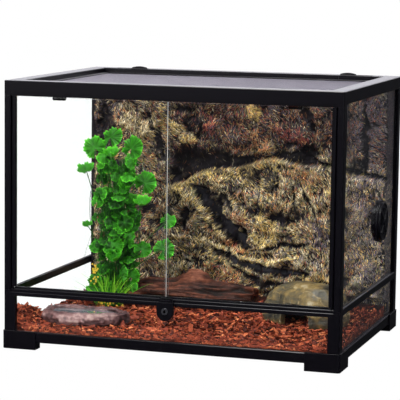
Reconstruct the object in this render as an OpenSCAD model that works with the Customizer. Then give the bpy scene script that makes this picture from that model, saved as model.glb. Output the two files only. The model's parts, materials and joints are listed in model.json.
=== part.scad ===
// Glass terrarium, 60 cm class, with hinged front doors, a lift-off mesh lid and a furnished interior.
// Millimetres. X runs to the viewer's right, Y from the doors to the rear, Z up.
// The origin is the centre of the tank on the surface that the feet stand on.

/* [Tank] */
// Width over the frame
tank_w = 606; // [500:2:900]
// Depth over the frame
tank_d = 456; // [380:2:600]
// Height from the feet to the top rim
tank_h = 472; // [400:2:600]

/* [Frame] */
// Width of each leg of a corner post
post_w = 21; // [18:0.5:30]
// Outer wall of the slotted profiles
frame_wall = 3.5; // [3:0.5:5]
// Inner wall of the slotted profiles
inner_wall = 2.5; // [2:0.5:4]
// Thickness of the glass panes
glass_t = 4; // [3:0.5:6]
// Clearance on each face of a pane in its slot
glass_fit = 0.2; // [0.1:0.1:0.5]
// Clearance at the edges of a pane
edge_fit = 0.3; // [0.2:0.1:1]
// Rounding of the upright corners
corner_r = 3; // [1:0.5:6]
// Chamfer of the front posts beside the doors
post_c = 2; // [1:0.5:3]
// Lip of the front posts behind the door stiles
lip_t = 2.2; // [1.5:0.1:2.4]
// Small edge chamfer on the beams
edge_c = 1.2; // [0.5:0.1:2]
// Height of the bottom beam
base_beam_h = 18; // [14:1:30]
// Depth of the slots that hold pane edges
slot_depth = 8; // [5:0.5:10]
// Thickness of the base pane
base_glass_t = 5; // [4:0.5:8]
// Shelf that carries the base pane, from the frame's outer face
base_shelf_w = 20; // [18:1:40]
// Thickness of shelves
shelf_t = 3; // [2:0.5:5]
// Height of the middle rail's underside
rail_z = 94; // [80:1:140]
// Height of the side and rear middle rails
rail_h = 12.5; // [12:0.5:20]
// Height of the joint line between lower and upper posts
seam_z = 104; // [98:1:106]

/* [Feet] */
// Clear height under the bottom beam
foot_lift = 13; // [8:1:25]
// Length of a foot along each side
foot_w = 62; // [45:1:90]
// How far a foot stands proud of the frame
foot_proud = 2; // [1:0.5:4]
// How far a foot wraps above the bottom beam
foot_lap = 1; // [0.5:0.5:3]
// Wall of the hollow foot
foot_wall = 3; // [2:0.5:4]

/* [Top] */
// Height of the top beam
top_beam_h = 22; // [18:1:30]
// Width of the top rim
rim_w = 28; // [24:1:40]
// Thickness of the rim's top plate
rim_t = 2.5; // [2:0.5:4]
// Height of the header strip over the doors
header_h = 4.5; // [4:0.5:10]
// Set-back of the header's face
header_inset = 0.8; // [0.4:0.1:2]
// Shelf that carries the lid, past the rim
lid_shelf_w = 8; // [6:1:14]
// Height of the lid shelf's underside above the beam's underside
lid_shelf_z = 7; // [5:0.5:9]

/* [Doors] */
// Front leg of the front posts, beside the door stiles
hinge_post_w = 12; // [10:0.5:14]
// Hinge axis from the frame's side face
hinge_in = 16.2; // [15.5:0.1:17]
// Hinge axis from the frame's front face
hinge_back = 4.8; // [4.6:0.1:5]
// Radius of a door stile
stile_r = 2.8; // [2.6:0.1:3]
// How far a stile grips the glass from the hinge axis
stile_grip = 4.8; // [4:0.1:6]
// Radius of a hinge pin
pin_r = 2; // [1.6:0.1:2]
// Radial clearance of a turning pin
pin_fit = 0.05; // [0.02:0.01:0.1]
// Reach of the lower hinge pin into the sill
pin_reach = 5.5; // [4:0.5:6]
// Thickness of the floor under a hinge bore
pin_floor = 0.5; // [0.3:0.1:1]
// Height of the sill's front lip above the rail's underside
sill_lip = 6.5; // [5:0.5:8]
// Height of the sill under the doors above the rail's underside
sill_h = 12; // [11:0.5:13]
// Height of the rib behind the doors above the rail's underside
sill_rib = 16; // [14:0.5:18]
// Depth of the front lip
sill_lip_d = 2.5; // [2:0.1:2.6]
// Front of the rib from the frame's front face
rib_in = 7.2; // [7.1:0.1:8]
// Gap under the door glass
door_lift = 3; // [3:0.5:6]
// Gap over the door glass
door_top_gap = 2; // [1.5:0.5:4]
// Centre of the gap between the doors
door_split_x = -2.5; // [-10:0.5:10]
// Gap between the doors
door_gap = 4; // [3.5:0.5:6]
// Clearance over and under a stile
stile_gap = 0.5; // [0.3:0.1:1]
// Wall of the clear seal strip
seal_t = 0.8; // [0.5:0.1:1]
// How far the seal strip grips the glass
seal_grip = 4; // [3:0.5:8]

/* [Latch] */
// Width of the latch housing
latch_w = 30; // [24:1:40]
// Depth of the latch housing
latch_d = 8; // [7.5:0.5:10]
// Lowest point of the latch housing
latch_z = 69.5; // [64:0.5:74]
// Top of the latch housing
latch_top_z = 101.5; // [100.6:0.1:103]
// Thickness of the sliding bolt
bolt_t = 3; // [2.5:0.1:3.2]
// Sliding clearance of the bolt
bolt_fit = 0.2; // [0.1:0.05:0.3]
// Top of the bolt at rest
bolt_top_z = 108.4; // [107:0.1:108.5]
// Height of the bolt's hooked head
bolt_head_h = 3.9; // [3:0.1:4.5]
// Radius of the turning lock barrel
knob_r = 6; // [5:0.5:8]
// How far the barrel stands out
knob_out = 2; // [1:0.5:2.5]
// Rise of the bolt from open to locked
bolt_rise = 6; // [5:0.5:6]
// Radius of the half-round cam behind the barrel
cam_r = 4; // [3.6:0.1:4.2]
// Distance of the cam's flat from the barrel's axis
cam_flat = 0.8; // [0.6:0.1:1.2]
// Clearance around the cam
cam_fit = 0.15; // [0.1:0.05:0.3]
// Shoulder that keeps the barrel in the housing
knob_shoulder = 1.2; // [0.8:0.1:1.6]
// How far the bolt's finger ledge stands out
ledge_out = 7.4; // [6:0.2:8]
// Half width of the finger ledge
ledge_half = 9; // [6:0.5:11]

/* [Lid] */
// Width of the lid frame's members
lid_bar_w = 13; // [10:1:20]
// Height of the lid frame
lid_bar_h = 4.5; // [4:0.5:8]
// Clearance of the lid in the rim
lid_fit = 0.5; // [0.3:0.1:1]
// Thickness of the mesh sheet
mesh_t = 0.8; // [0.5:0.1:1.2]
// Openings across the mesh sheet
mesh_nx = 12; // [6:1:12]
// Openings from front to rear of the mesh sheet
mesh_ny = 8; // [4:1:12]
// Width of each strand of the mesh
mesh_bar = 3; // [2:0.5:6]
// Gap between the crossing strands of the mesh
mesh_fit = 0.04; // [0.02:0.01:0.1]
// Distance of a lid clip from the middle
clip_x = 212; // [180:1:240]
// Width of a lid clip
clip_w = 25; // [18:1:32]
// Thickness of a lid clip
clip_t = 3; // [2.5:0.1:3.5]
// Length of a lid clip below its pivot
clip_drop = 24; // [20:0.5:28]
// Pivot pin radius of a lid clip
clip_pin_r = 1.2; // [1:0.1:1.4]

/* [Cable inlets] */
// Distance of an inlet from the middle
inlet_x = 221; // [180:1:235]
// Length of an inlet block
inlet_w = 63; // [50:1:80]
// Front-to-rear depth of an inlet block
inlet_d = 15.6; // [15:0.1:16]
// Length of an inlet's cable hole
inlet_hole_w = 26; // [20:1:28]
// Depth of an inlet's cable hole
inlet_hole_d = 9; // [7:0.5:9.5]
// Thickness of the sliding gate
gate_t = 2.2; // [2:0.1:2.4]
// Sliding clearance of the gate
gate_fit = 0.15; // [0.1:0.05:0.2]
// Height of the thumb tab above the rim
gate_tab_h = 4.5; // [3:0.5:8]

/* [Vent port] */
// Distance of the port behind the middle
port_y = 82; // [40:1:110]
// Height of the port's centre
port_z = 218; // [180:1:300]
// Radius of the port's outer flange
port_flange_r = 38; // [34:1:44]
// Radius of the port's tube
port_tube_r = 30; // [26:1:31]
// Clearance between the tube and the glass
port_glass_fit = 0.5; // [0.3:0.1:1]
// Wall of the port's tube
port_wall = 2.5; // [2:0.5:3]
// Radius of the turning shutter
shutter_r = 31; // [28:0.5:32]
// Angle of each vent window
vent_deg = 42; // [30:1:43]

/* [Furnishings] */
// Height of the level bark chips above the feet's plane
soil_z = 40; // [34:1:60]
// Least thickness of the rock background
rock_t = 26; // [20:1:40]
// Most thickness of the rock background
rock_max = 86; // [60:1:88]
// Length of the water dish
dish_w = 176; // [120:2:180]
// Depth of the water dish
dish_d = 106; // [80:2:130]
// Middle of the water dish from the left panes
dish_in_x = 110; // [100:1:140]
// Middle of the water dish from the front pane
dish_in_y = 67; // [64:1:90]
// Height of the water dish
dish_h = 25; // [20:1:40]
// Width of the rock hide
hide_w = 174; // [120:2:180]
// Depth of the rock hide
hide_d = 118; // [100:2:140]
// Height of the rock hide
hide_h = 74; // [60:1:90]
// Turn of the rock hide's doorway towards the left
hide_turn = 23; // [0:1:40]
// Middle of the rock hide from the right panes
hide_in_x = 102; // [98:1:140]
// Length of the driftwood
wood_l = 236; // [180:2:260]
// Middle of the plant from the left panes
plant_in_x = 102; // [95:1:140]

/* [Hidden] */
$fn = 48;
eps = 0.01;
black = "#161618";
clear = [0.8, 0.92, 0.9, 0.3];
slot_w = glass_t + 2 * glass_fit;
prof_t = frame_wall + slot_w + inner_wall;
base_top = foot_lift + base_beam_h;
base_glass_z = foot_lift + shelf_t;
base_glass_top = base_glass_z + base_glass_t;
top_z = tank_h - top_beam_h;
header_z = top_z - header_h;
mid_web = shelf_t;
low_slot = (rail_h - mid_web) / 2;
high_slot = rail_h - mid_web - low_slot;
pane_start = post_w / 2 + 1;
lid_z = top_z + lid_shelf_z + 2.5;
lid_in = rim_w + lid_fit;
door_z = rail_z + sill_h + door_lift;
door_top = header_z - door_top_gap + 0.5;
stile_z = rail_z + sill_rib + stile_gap;
stile_top = header_z - stile_gap;
hinge_x = tank_w / 2 - hinge_in;
hinge_y = -tank_d / 2 + hinge_back;
glass_y = hinge_y - glass_t / 2;
front_y = -tank_d / 2;
stile_slot = pin_r + 0.3;
latch_x = door_split_x;
knob_z = latch_z + latch_w / 2 + 1.5;
inside_w = tank_w - 2 * prof_t - 2 * edge_fit;
inside_d = tank_d - 2 * prof_t - 2 * edge_fit;
plant_c = [-inside_w / 2 + plant_in_x, 0.05 * inside_d];
hide_c = [inside_w / 2 - hide_in_x, -0.018 * inside_d];
wood_x0 = plant_c[0] + 28;
wood_span = min(wood_l, hide_c[0] - hide_w / 2 - 18 - wood_x0);

// Local frame of a corner: a along X and b along Y, both from the outer corner into the tank.
module at_corner(sx, sy) {
    translate([sx * tank_w / 2, sy * tank_d / 2, 0])
        mirror([sx > 0 ? 1 : 0, 0, 0])
            mirror([0, sy > 0 ? 1 : 0, 0])
                children();
}

// Local frame of a side: x along it, y from its outer face into the tank.
module on_front() {
    translate([0, -tank_d / 2, 0]) children();
}
module on_rear() {
    translate([0, tank_d / 2, 0]) rotate([0, 0, 180]) children();
}
module on_left() {
    translate([-tank_w / 2, 0, 0]) rotate([0, 0, -90]) children();
}
module on_right() {
    translate([tank_w / 2, 0, 0]) rotate([0, 0, 90]) children();
}

// A bar whose section is the 2D child: section x runs inward, section y up.
module bar(length) {
    rotate([90, 0, 90])
        translate([0, 0, -length / 2])
            linear_extrude(length) children();
}

// The same bar with both ends cut at 45 degrees, each a hair past the mitre, so that four join into one ring.
module mitred_bar(length, depth, height) {
    half = length / 2 + eps;
    intersection() {
        bar(length) children();
        translate([0, 0, -1])
            linear_extrude(height + 2)
                polygon([[-half, 0], [half, 0], [half - depth, depth], [-half + depth, depth]]);
    }
}

// Cuts the four upright corners of a ring round.
module round_corners(z, height) {
    difference() {
        children();
        for (sx = [-1, 1], sy = [-1, 1])
            at_corner(sx, sy)
                translate([0, 0, z - 1])
                    linear_extrude(height + 2)
                        difference() {
                            translate([-1, -1]) square(corner_r + 1);
                            translate([corner_r, corner_r]) circle(corner_r);
                        }
    }
}

module box(x0, x1, y0, y1, z0, z1) {
    translate([x0, y0, z0]) cube([x1 - x0, y1 - y0, z1 - z0]);
}

// Bottom frame: a slot for the lower panes and a shelf for the base pane.
module bottom_profile() {
    s0 = frame_wall;
    s1 = frame_wall + slot_w;
    web = shelf_t * 2;
    polygon([
        [edge_c, 0], [base_shelf_w, 0], [base_shelf_w, shelf_t], [prof_t, shelf_t],
        [prof_t, base_beam_h], [s1, base_beam_h], [s1, web], [s0, web],
        [s0, base_beam_h], [edge_c, base_beam_h], [0, base_beam_h - edge_c], [0, edge_c]
    ]);
}
module bottom_frame() {
    color(black)
        round_corners(foot_lift, base_beam_h)
            translate([0, 0, foot_lift]) {
                on_front() mitred_bar(tank_w, base_shelf_w + 1, base_beam_h) bottom_profile();
                on_rear() mitred_bar(tank_w, base_shelf_w + 1, base_beam_h) bottom_profile();
                on_left() mitred_bar(tank_d, base_shelf_w + 1, base_beam_h) bottom_profile();
                on_right() mitred_bar(tank_d, base_shelf_w + 1, base_beam_h) bottom_profile();
            }
}

// Feet: hollow corner shoes whose skirts wrap the bottom beam.
module foot_plan(inset) {
    p = foot_proud;
    difference() {
        union() {
            translate([-p + inset, -p + inset]) square([foot_w - 2 * inset, post_w + p - 2 * inset]);
            translate([-p + inset, -p + inset]) square([post_w + p - 2 * inset, foot_w - 2 * inset]);
        }
        if (inset == 0)
            difference() {
                translate([-p - 1, -p - 1]) square(corner_r + 1 + p);
                translate([corner_r, corner_r]) circle(corner_r + p);
            }
    }
}
module foot(sx, sy) {
    skirt_top = base_top + foot_lap;
    color(black)
        at_corner(sx, sy) {
            difference() {
                linear_extrude(foot_lift) foot_plan(0);
                translate([0, 0, -1]) linear_extrude(foot_lift - foot_wall + 1) foot_plan(foot_wall);
            }
            difference() {
                translate([0, 0, foot_lift - eps]) linear_extrude(skirt_top - foot_lift + eps) foot_plan(0);
                translate([0, 0, foot_lift - 1])
                    linear_extrude(skirt_top - foot_lift + 2)
                        difference() {
                            square(foot_w);
                            difference() {
                                square(corner_r);
                                translate([corner_r, corner_r]) circle(corner_r);
                            }
                        }
            }
        }
}

// Glass of the lower tray.
module base_glass() {
    w = tank_w - 2 * (prof_t + edge_fit);
    d = tank_d - 2 * (prof_t + edge_fit);
    color(clear) box(-w / 2, w / 2, -d / 2, d / 2, base_glass_z, base_glass_top);
}
module pane(length, z0, z1) {
    box(-length / 2, length / 2, frame_wall + glass_fit, frame_wall + glass_fit + glass_t, z0, z1);
}
lower_pane_z = foot_lift + shelf_t * 2;
lower_pane_top = rail_z + low_slot - edge_fit;
module lower_glass_front() {
    color(clear) on_front() pane(tank_w - 2 * (hinge_post_w + edge_fit), lower_pane_z, lower_pane_top);
}
module lower_glass_rear() {
    color(clear) on_rear() pane(tank_w - 2 * (pane_start + edge_fit), lower_pane_z, lower_pane_top);
}
module lower_glass_left() {
    color(clear) on_left() pane(tank_d - 2 * (pane_start + edge_fit), lower_pane_z, lower_pane_top);
}
module lower_glass_right() {
    color(clear) on_right() pane(tank_d - 2 * (pane_start + edge_fit), lower_pane_z, lower_pane_top);
}

// Posts: L-shaped profiles with a slot for the pane in each leg.
module leg(length, slotted) {
    difference() {
        square([length, prof_t]);
        if (slotted)
            translate([pane_start, frame_wall]) square([length, slot_w]);
    }
}
module post_plan(front_leg, front_slot) {
    difference() {
        union() {
            leg(front_leg, front_slot);
            mirror([1, -1]) leg(post_w, true);
        }
        difference() {
            translate([-1, -1]) square(corner_r + 1);
            translate([corner_r, corner_r]) circle(corner_r);
        }
    }
}
module lower_post(sx, sy) {
    at_rail = sy < 0 ? hinge_post_w : post_w;
    color(black)
        at_corner(sx, sy) {
            translate([0, 0, base_top]) linear_extrude(rail_z - base_top) post_plan(post_w, true);
            translate([0, 0, rail_z - eps])
                linear_extrude(seam_z - rail_z + eps) post_plan(at_rail, sy > 0);
        }
}

// Front posts have a short chamfered front leg beside the door stile, and a lip behind the stile.
module upper_post(sx, sy) {
    lip_z = rail_z + sill_rib;
    color(black)
        at_corner(sx, sy)
            if (sy > 0)
                translate([0, 0, seam_z]) linear_extrude(header_z - seam_z) post_plan(post_w, true);
            else
                union() {
                    translate([0, 0, seam_z])
                        linear_extrude(header_z - seam_z)
                            difference() {
                                post_plan(hinge_post_w, false);
                                polygon([
                                    [hinge_post_w - post_c - 1, -1],
                                    [hinge_post_w + 1, -1],
                                    [hinge_post_w + 1, post_c + 1]
                                ]);
                            }
                    box(prof_t, post_w, prof_t - lip_t, prof_t, lip_z, header_z);
                }
}

// Middle rails. The front one steps up to a rib that the doors close against.
module rail_profile() {
    s1 = frame_wall + slot_w;
    polygon([
        [0, 0], [frame_wall, 0], [frame_wall, low_slot], [s1, low_slot], [s1, 0],
        [prof_t, 0], [prof_t, rail_h], [s1, rail_h], [s1, low_slot + mid_web],
        [frame_wall, low_slot + mid_web], [frame_wall, rail_h], [edge_c, rail_h], [0, rail_h - edge_c]
    ]);
}
module sill_profile() {
    s1 = frame_wall + slot_w;
    c = 0.6;
    polygon([
        [0, 0], [frame_wall, 0], [frame_wall, low_slot], [s1, low_slot], [s1, 0],
        [prof_t, 0], [prof_t, sill_rib], [rib_in + c, sill_rib], [rib_in, sill_rib - c],
        [rib_in, sill_h], [sill_lip_d + c, sill_h], [sill_lip_d, sill_h - c],
        [sill_lip_d, sill_lip], [c, sill_lip], [0, sill_lip - c]
    ]);
}
module mid_rail_front() {
    length = tank_w - 2 * hinge_post_w;
    color(black)
        difference() {
            translate([0, 0, rail_z]) on_front() bar(length) sill_profile();
            for (s = [-1, 1])
                translate([s * hinge_x, hinge_y, rail_z + sill_h - pin_reach - pin_floor])
                    cylinder(r = pin_r + pin_fit, h = pin_reach + pin_floor + 1);
        }
}
module mid_rail_rear() {
    color(black) translate([0, 0, rail_z]) on_rear() bar(tank_w - 2 * post_w) rail_profile();
}
module mid_rail_left() {
    color(black) translate([0, 0, rail_z]) on_left() bar(tank_d - 2 * post_w) rail_profile();
}
module mid_rail_right() {
    color(black) translate([0, 0, rail_z]) on_right() bar(tank_d - 2 * post_w) rail_profile();
}

// Upper panes. The right one has the hole for the vent port.
upper_pane_z = rail_z + low_slot + mid_web + edge_fit;
upper_pane_top = top_z + slot_depth - edge_fit;
module side_glass_left() {
    color(clear) on_left() pane(tank_d - 2 * (pane_start + edge_fit), upper_pane_z, upper_pane_top);
}
module side_glass_right() {
    color(clear)
        difference() {
            on_right() pane(tank_d - 2 * (pane_start + edge_fit), upper_pane_z, upper_pane_top);
            translate([tank_w / 2 - prof_t - 1, port_y, port_z])
                rotate([0, 90, 0]) cylinder(r = port_tube_r + port_glass_fit, h = prof_t + 2);
        }
}
module rear_glass() {
    color(clear) on_rear() pane(tank_w - 2 * (pane_start + edge_fit), upper_pane_z, upper_pane_top);
}

// Top frame: channel beams with a wide rim and a shelf for the lid.
module rim_profile(slotted) {
    s0 = frame_wall;
    s1 = frame_wall + slot_w;
    under = top_beam_h - rim_t;
    inner = rim_w - inner_wall;
    shelf = rim_w + lid_shelf_w;
    difference() {
        polygon([
            [0, 0], [prof_t, 0], [prof_t, lid_shelf_z], [shelf, lid_shelf_z],
            [shelf, lid_shelf_z + 2.5], [rim_w, lid_shelf_z + 2.5], [rim_w, top_beam_h - 1],
            [rim_w - 1, top_beam_h], [edge_c, top_beam_h], [0, top_beam_h - edge_c]
        ]);
        translate([prof_t, lid_shelf_z - 1]) square([inner - prof_t, under - lid_shelf_z + 1]);
        if (slotted)
            translate([s0, -1]) square([slot_w, slot_depth + 1]);
        else
            translate([s0, -1]) square([prof_t - s0 + 1, under + 1]);
        translate([s1, slot_depth + shelf_t])
            square([inner - s1, under - slot_depth - shelf_t]);
    }
}
module top_frame() {
    depth = rim_w + lid_shelf_w + 1;
    color(black)
        difference() {
            union() {
                round_corners(top_z, top_beam_h)
                    translate([0, 0, top_z]) {
                        on_front() mitred_bar(tank_w, depth, top_beam_h) rim_profile(false);
                        on_rear() mitred_bar(tank_w, depth, top_beam_h) rim_profile(true);
                        on_left() mitred_bar(tank_d, depth, top_beam_h) rim_profile(true);
                        on_right() mitred_bar(tank_d, depth, top_beam_h) rim_profile(true);
                    }
                for (sx = [-1, 1], sy = [-1, 1])
                    at_corner(sx, sy)
                        translate([0, 0, header_z])
                            linear_extrude(header_h + eps)
                                post_plan(sy < 0 ? hinge_post_w : post_w, sy > 0);
            }
            for (s = [-1, 1]) {
                translate([s * clip_x, front_y, 0])
                    box(
                        -clip_w / 2 - 1.5, clip_w / 2 + 1.5,
                        rim_w, rim_w + lid_shelf_w + 2,
                        top_z, lid_z + 1
                    );
                translate([s * inlet_x, tank_d / 2 - inlet_y1, lid_z])
                    box(-inlet_w / 2, inlet_w / 2, -1, inlet_y1 - inlet_y0, 0, top_beam_h);
            }
        }
}
module door_header() {
    length = tank_w - 2 * hinge_post_w;
    color(black)
        difference() {
            box(-length / 2, length / 2, front_y + header_inset, front_y + prof_t, header_z, top_z);
            for (s = [-1, 1])
                translate([s * hinge_x, hinge_y, header_z - 1])
                    cylinder(r = pin_r + pin_fit, h = header_h + 2);
        }
}

// Doors: a pane gripped by a turning stile whose pins run in the sill and the header.
module door_glass(s) {
    free_x = s < 0 ? door_split_x - door_gap / 2 : door_split_x + door_gap / 2;
    held_x = s * (hinge_x - stile_slot);
    color(clear)
        box(min(free_x, held_x), max(free_x, held_x), glass_y, glass_y + glass_t, door_z, door_top);
}
module door_stile(s) {
    sill_top = rail_z + sill_h;
    color(black)
        translate([s * hinge_x, hinge_y, 0])
            mirror([s > 0 ? 1 : 0, 0, 0]) {
                difference() {
                    translate([0, 0, stile_z])
                        linear_extrude(stile_top - stile_z)
                            union() {
                                circle(stile_r);
                                translate([0, -stile_r]) square([stile_grip, 2 * stile_r]);
                            }
                    box(stile_slot, stile_grip + 1, -glass_t / 2, glass_t / 2, stile_z - 1, door_top);
                }
                translate([0, 0, sill_top - pin_reach])
                    cylinder(r = pin_r, h = stile_z - sill_top + pin_reach + eps);
                translate([0, 0, stile_top - eps]) cylinder(r = pin_r, h = header_h - eps);
            }
}
module left_door_seal() {
    x0 = door_split_x - door_gap / 2 - seal_grip;
    x1 = door_split_x - door_gap / 2 + 2.2;
    color([0.85, 0.95, 0.95, 0.5])
        difference() {
            box(x0, x1, glass_y - seal_t, glass_y + glass_t + seal_t, stile_z, door_top);
            box(x0 - 1, door_split_x - door_gap / 2, glass_y, glass_y + glass_t, stile_z - 1, door_top + 1);
        }
}

// Latch: a finger lifts the bolt in front of both doors, and the barrel's half-round cam turns into a notch of it.
bolt_in = 1.2;
pocket_wall = 2;
bolt_half = latch_w / 2 - pocket_wall - bolt_fit;
module latch_outline(r, z0, z1) {
    union() {
        translate([0, z0 + r]) circle(r);
        translate([-r, z0 + r]) square([2 * r, z1 - z0 - r]);
    }
}
module upright(y0, y1) {
    translate([latch_x, front_y + y1, 0]) rotate([90, 0, 0]) linear_extrude(y1 - y0) children();
}
module on_barrel() {
    translate([latch_x, front_y, knob_z]) rotate([90, 0, 0]) children();
}
module latch_housing() {
    pocket_front = bolt_in + bolt_t + 2 * bolt_fit;
    color(black)
        difference() {
            upright(-latch_d, 0) latch_outline(latch_w / 2, latch_z, latch_top_z);
            upright(-pocket_front, -bolt_in)
                latch_outline(latch_w / 2 - pocket_wall, latch_z + pocket_wall, latch_top_z + 1);
            on_barrel()
                translate([0, 0, bolt_in]) {
                    cylinder(r = knob_r + pin_fit, h = latch_d);
                    cylinder(r = knob_r + knob_shoulder + pin_fit, h = pocket_front + 1.8 - bolt_in);
                }
        }
}
module bolt_outline(z0) {
    corner = 5;
    union() {
        translate([0, z0 + bolt_half]) circle(bolt_half);
        translate([-bolt_half, z0 + bolt_half])
            square([2 * bolt_half, bolt_top_z - corner - z0 - bolt_half]);
        translate([-bolt_half + corner, z0 + bolt_half])
            square([2 * (bolt_half - corner), bolt_top_z - z0 - bolt_half]);
        for (s = [-1, 1])
            translate([s * (bolt_half - corner), bolt_top_z - corner]) circle(corner);
    }
}
module bolt_window() {
    r = cam_r + cam_fit;
    translate([-r, knob_z - bolt_rise - r]) square([r + cam_flat + cam_fit, bolt_rise + 2 * r]);
    for (k = [0, 1])
        translate([0, knob_z - k * bolt_rise]) circle(r);
}
module latch_bolt() {
    y0 = -bolt_in - bolt_t - bolt_fit;
    y1 = -bolt_in - bolt_fit;
    z0 = latch_z + pocket_wall + 1.5;
    head_y = sill_lip_d - 0.7;
    ledge_z = latch_top_z + 0.7;
    round = 1.5;
    color(black) {
        upright(y0, y1)
            difference() {
                bolt_outline(z0);
                bolt_window();
            }
        intersection() {
            upright(y0, head_y) bolt_outline(z0);
            translate([latch_x, front_y, 0])
                box(-bolt_half, bolt_half, y1 - eps, head_y, bolt_top_z - bolt_head_h, bolt_top_z);
        }
        translate([latch_x, front_y, ledge_z])
            linear_extrude(3.2)
                union() {
                    translate([-ledge_half, -ledge_out + round])
                        square([2 * ledge_half, ledge_out - round + y0 + eps]);
                    translate([-ledge_half + round, -ledge_out])
                        square([2 * (ledge_half - round), ledge_out + y0]);
                    for (s = [-1, 1])
                        translate([s * (ledge_half - round), -ledge_out + round]) circle(round);
                }
    }
}
module latch_knob() {
    back = bolt_in + bolt_t + 2 * bolt_fit + 0.2;
    front = latch_d + knob_out;
    color("#3a3a3e")
        on_barrel()
            difference() {
                union() {
                    translate([0, 0, back]) cylinder(r = knob_r, h = front - 0.8 - back);
                    translate([0, 0, back]) cylinder(r = knob_r + knob_shoulder, h = 1.4);
                    translate([0, 0, front - 0.8 - eps])
                        cylinder(r1 = knob_r, r2 = knob_r - 0.8, h = 0.8);
                    translate([0, 0, bolt_in + bolt_fit])
                        linear_extrude(back - bolt_in)
                            difference() {
                                circle(cam_r);
                                translate([cam_flat, -cam_r - 1]) square(2 * cam_r + 2);
                            }
                }
                translate([-0.9, -3.2, front - 3]) cube([1.8, 6.4, 4]);
                translate([0, 0, front - 1]) cylinder(r = 2.2, h = 2);
            }
}

// Lid: a flat frame that clamps the mesh sheet, with two pivoting clips at the front.
module lid_profile() {
    mesh_z = (lid_bar_h - mesh_t) / 2;
    polygon([
        [0, 0], [lid_bar_w, 0], [lid_bar_w, mesh_z], [lid_bar_w - 3, mesh_z],
        [lid_bar_w - 3, mesh_z + mesh_t], [lid_bar_w, mesh_z + mesh_t],
        [lid_bar_w, lid_bar_h - 0.6], [lid_bar_w - 0.6, lid_bar_h], [0.6, lid_bar_h], [0, lid_bar_h - 0.6]
    ]);
}
clip_pivot_y = lid_in + 3;
clip_notch_d = 6;
module clip_notch(s) {
    translate([s * clip_x, front_y + lid_in, lid_z])
        box(-clip_w / 2 - 0.5, clip_w / 2 + 0.5, -1, clip_notch_d, -1, lid_bar_h + 1);
}
module clip_bore(s) {
    translate([s * clip_x - clip_w / 2 - 3.5, front_y + clip_pivot_y, lid_z + lid_bar_h / 2])
        rotate([0, 90, 0]) cylinder(r = clip_pin_r + pin_fit, h = clip_w + 7);
}
module lid_frame() {
    w = tank_w - 2 * lid_in;
    d = tank_d - 2 * lid_in;
    color(black)
        difference() {
            translate([0, 0, lid_z]) {
                translate([0, lid_in, 0]) on_front() mitred_bar(w, lid_bar_w + 1, lid_bar_h) lid_profile();
                translate([0, -lid_in, 0]) on_rear() mitred_bar(w, lid_bar_w + 1, lid_bar_h) lid_profile();
                translate([lid_in, 0, 0]) on_left() mitred_bar(d, lid_bar_w + 1, lid_bar_h) lid_profile();
                translate([-lid_in, 0, 0]) on_right() mitred_bar(d, lid_bar_w + 1, lid_bar_h) lid_profile();
            }
            for (s = [-1, 1]) {
                clip_notch(s);
                clip_bore(s);
            }
        }
}
module lid_mesh() {
    w = tank_w - 2 * (lid_in + lid_bar_w - 3);
    d = tank_d - 2 * (lid_in + lid_bar_w - 3);
    z = lid_z + (lid_bar_h - mesh_t) / 2;
    strand = (mesh_t - mesh_fit) / 2;
    step_x = (w - mesh_bar) / mesh_nx;
    step_y = (d - mesh_bar) / mesh_ny;
    color("#8d8b93") {
        for (j = [0:mesh_ny])
            translate([-w / 2, -d / 2 + j * step_y, z]) cube([w, mesh_bar, strand]);
        for (i = [0:mesh_nx])
            translate([-w / 2 + i * step_x, -d / 2, z + mesh_t - strand]) cube([mesh_bar, d, strand]);
    }
}
module lid_clip(s) {
    pivot_z = lid_z + lid_bar_h / 2;
    low = pivot_z - clip_drop;
    high = tank_h - 0.5;
    r = 3;
    tooth_top = top_z + lid_shelf_z - 1.4;
    color(black)
        translate([s * clip_x, front_y + clip_pivot_y, 0]) {
            translate([0, clip_t / 2, 0])
                rotate([90, 0, 0])
                    linear_extrude(clip_t)
                        union() {
                            translate([-clip_w / 2, low + r]) square([clip_w, high - low - r]);
                            translate([-clip_w / 2 + r, low]) square([clip_w - 2 * r, high - low]);
                            for (k = [-1, 1])
                                translate([k * (clip_w / 2 - r), low + r]) circle(r);
                        }
            box(-clip_w / 2, clip_w / 2, rim_w - clip_pivot_y + 0.3, 0, tooth_top - 2.4, tooth_top);
            translate([-clip_w / 2 - 3, 0, pivot_z])
                rotate([0, 90, 0]) cylinder(r = clip_pin_r, h = clip_w + 6);
        }
}

// Cable inlets: a block in the rear rim whose sliding gate has a raised thumb tab.
inlet_y0 = rim_w - inlet_d - 0.2;
inlet_y1 = rim_w;
inlet_top = tank_h - 0.5;
groove_d = 12.2;
neck_d = 7.6;
gate_z = inlet_top - 1.2 - gate_t - 2 * gate_fit;
module at_inlet(s) {
    translate([s * inlet_x, tank_d / 2 - inlet_y0 - inlet_d / 2 - 0.1, 0])
        mirror([s < 0 ? 1 : 0, 0, 0]) children();
}
module inlet_block(s) {
    half = inlet_w / 2 - 0.2;
    groove = inlet_w / 2 - 1.2;
    gd = groove_d / 2;
    hd = inlet_hole_d / 2;
    color(black)
        at_inlet(s)
            difference() {
                box(-half, half, -inlet_d / 2 + 0.1, inlet_d / 2 - 0.1, lid_z, inlet_top);
                box(-groove, groove, -gd, gd, gate_z, gate_z + gate_t + 2 * gate_fit);
                box(-groove, groove, -neck_d / 2, neck_d / 2, gate_z, inlet_top + 1);
                box(-groove + 2, -groove + 2 + inlet_hole_w, -hd, hd, lid_z - 1, gate_z + 1);
            }
}
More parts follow.
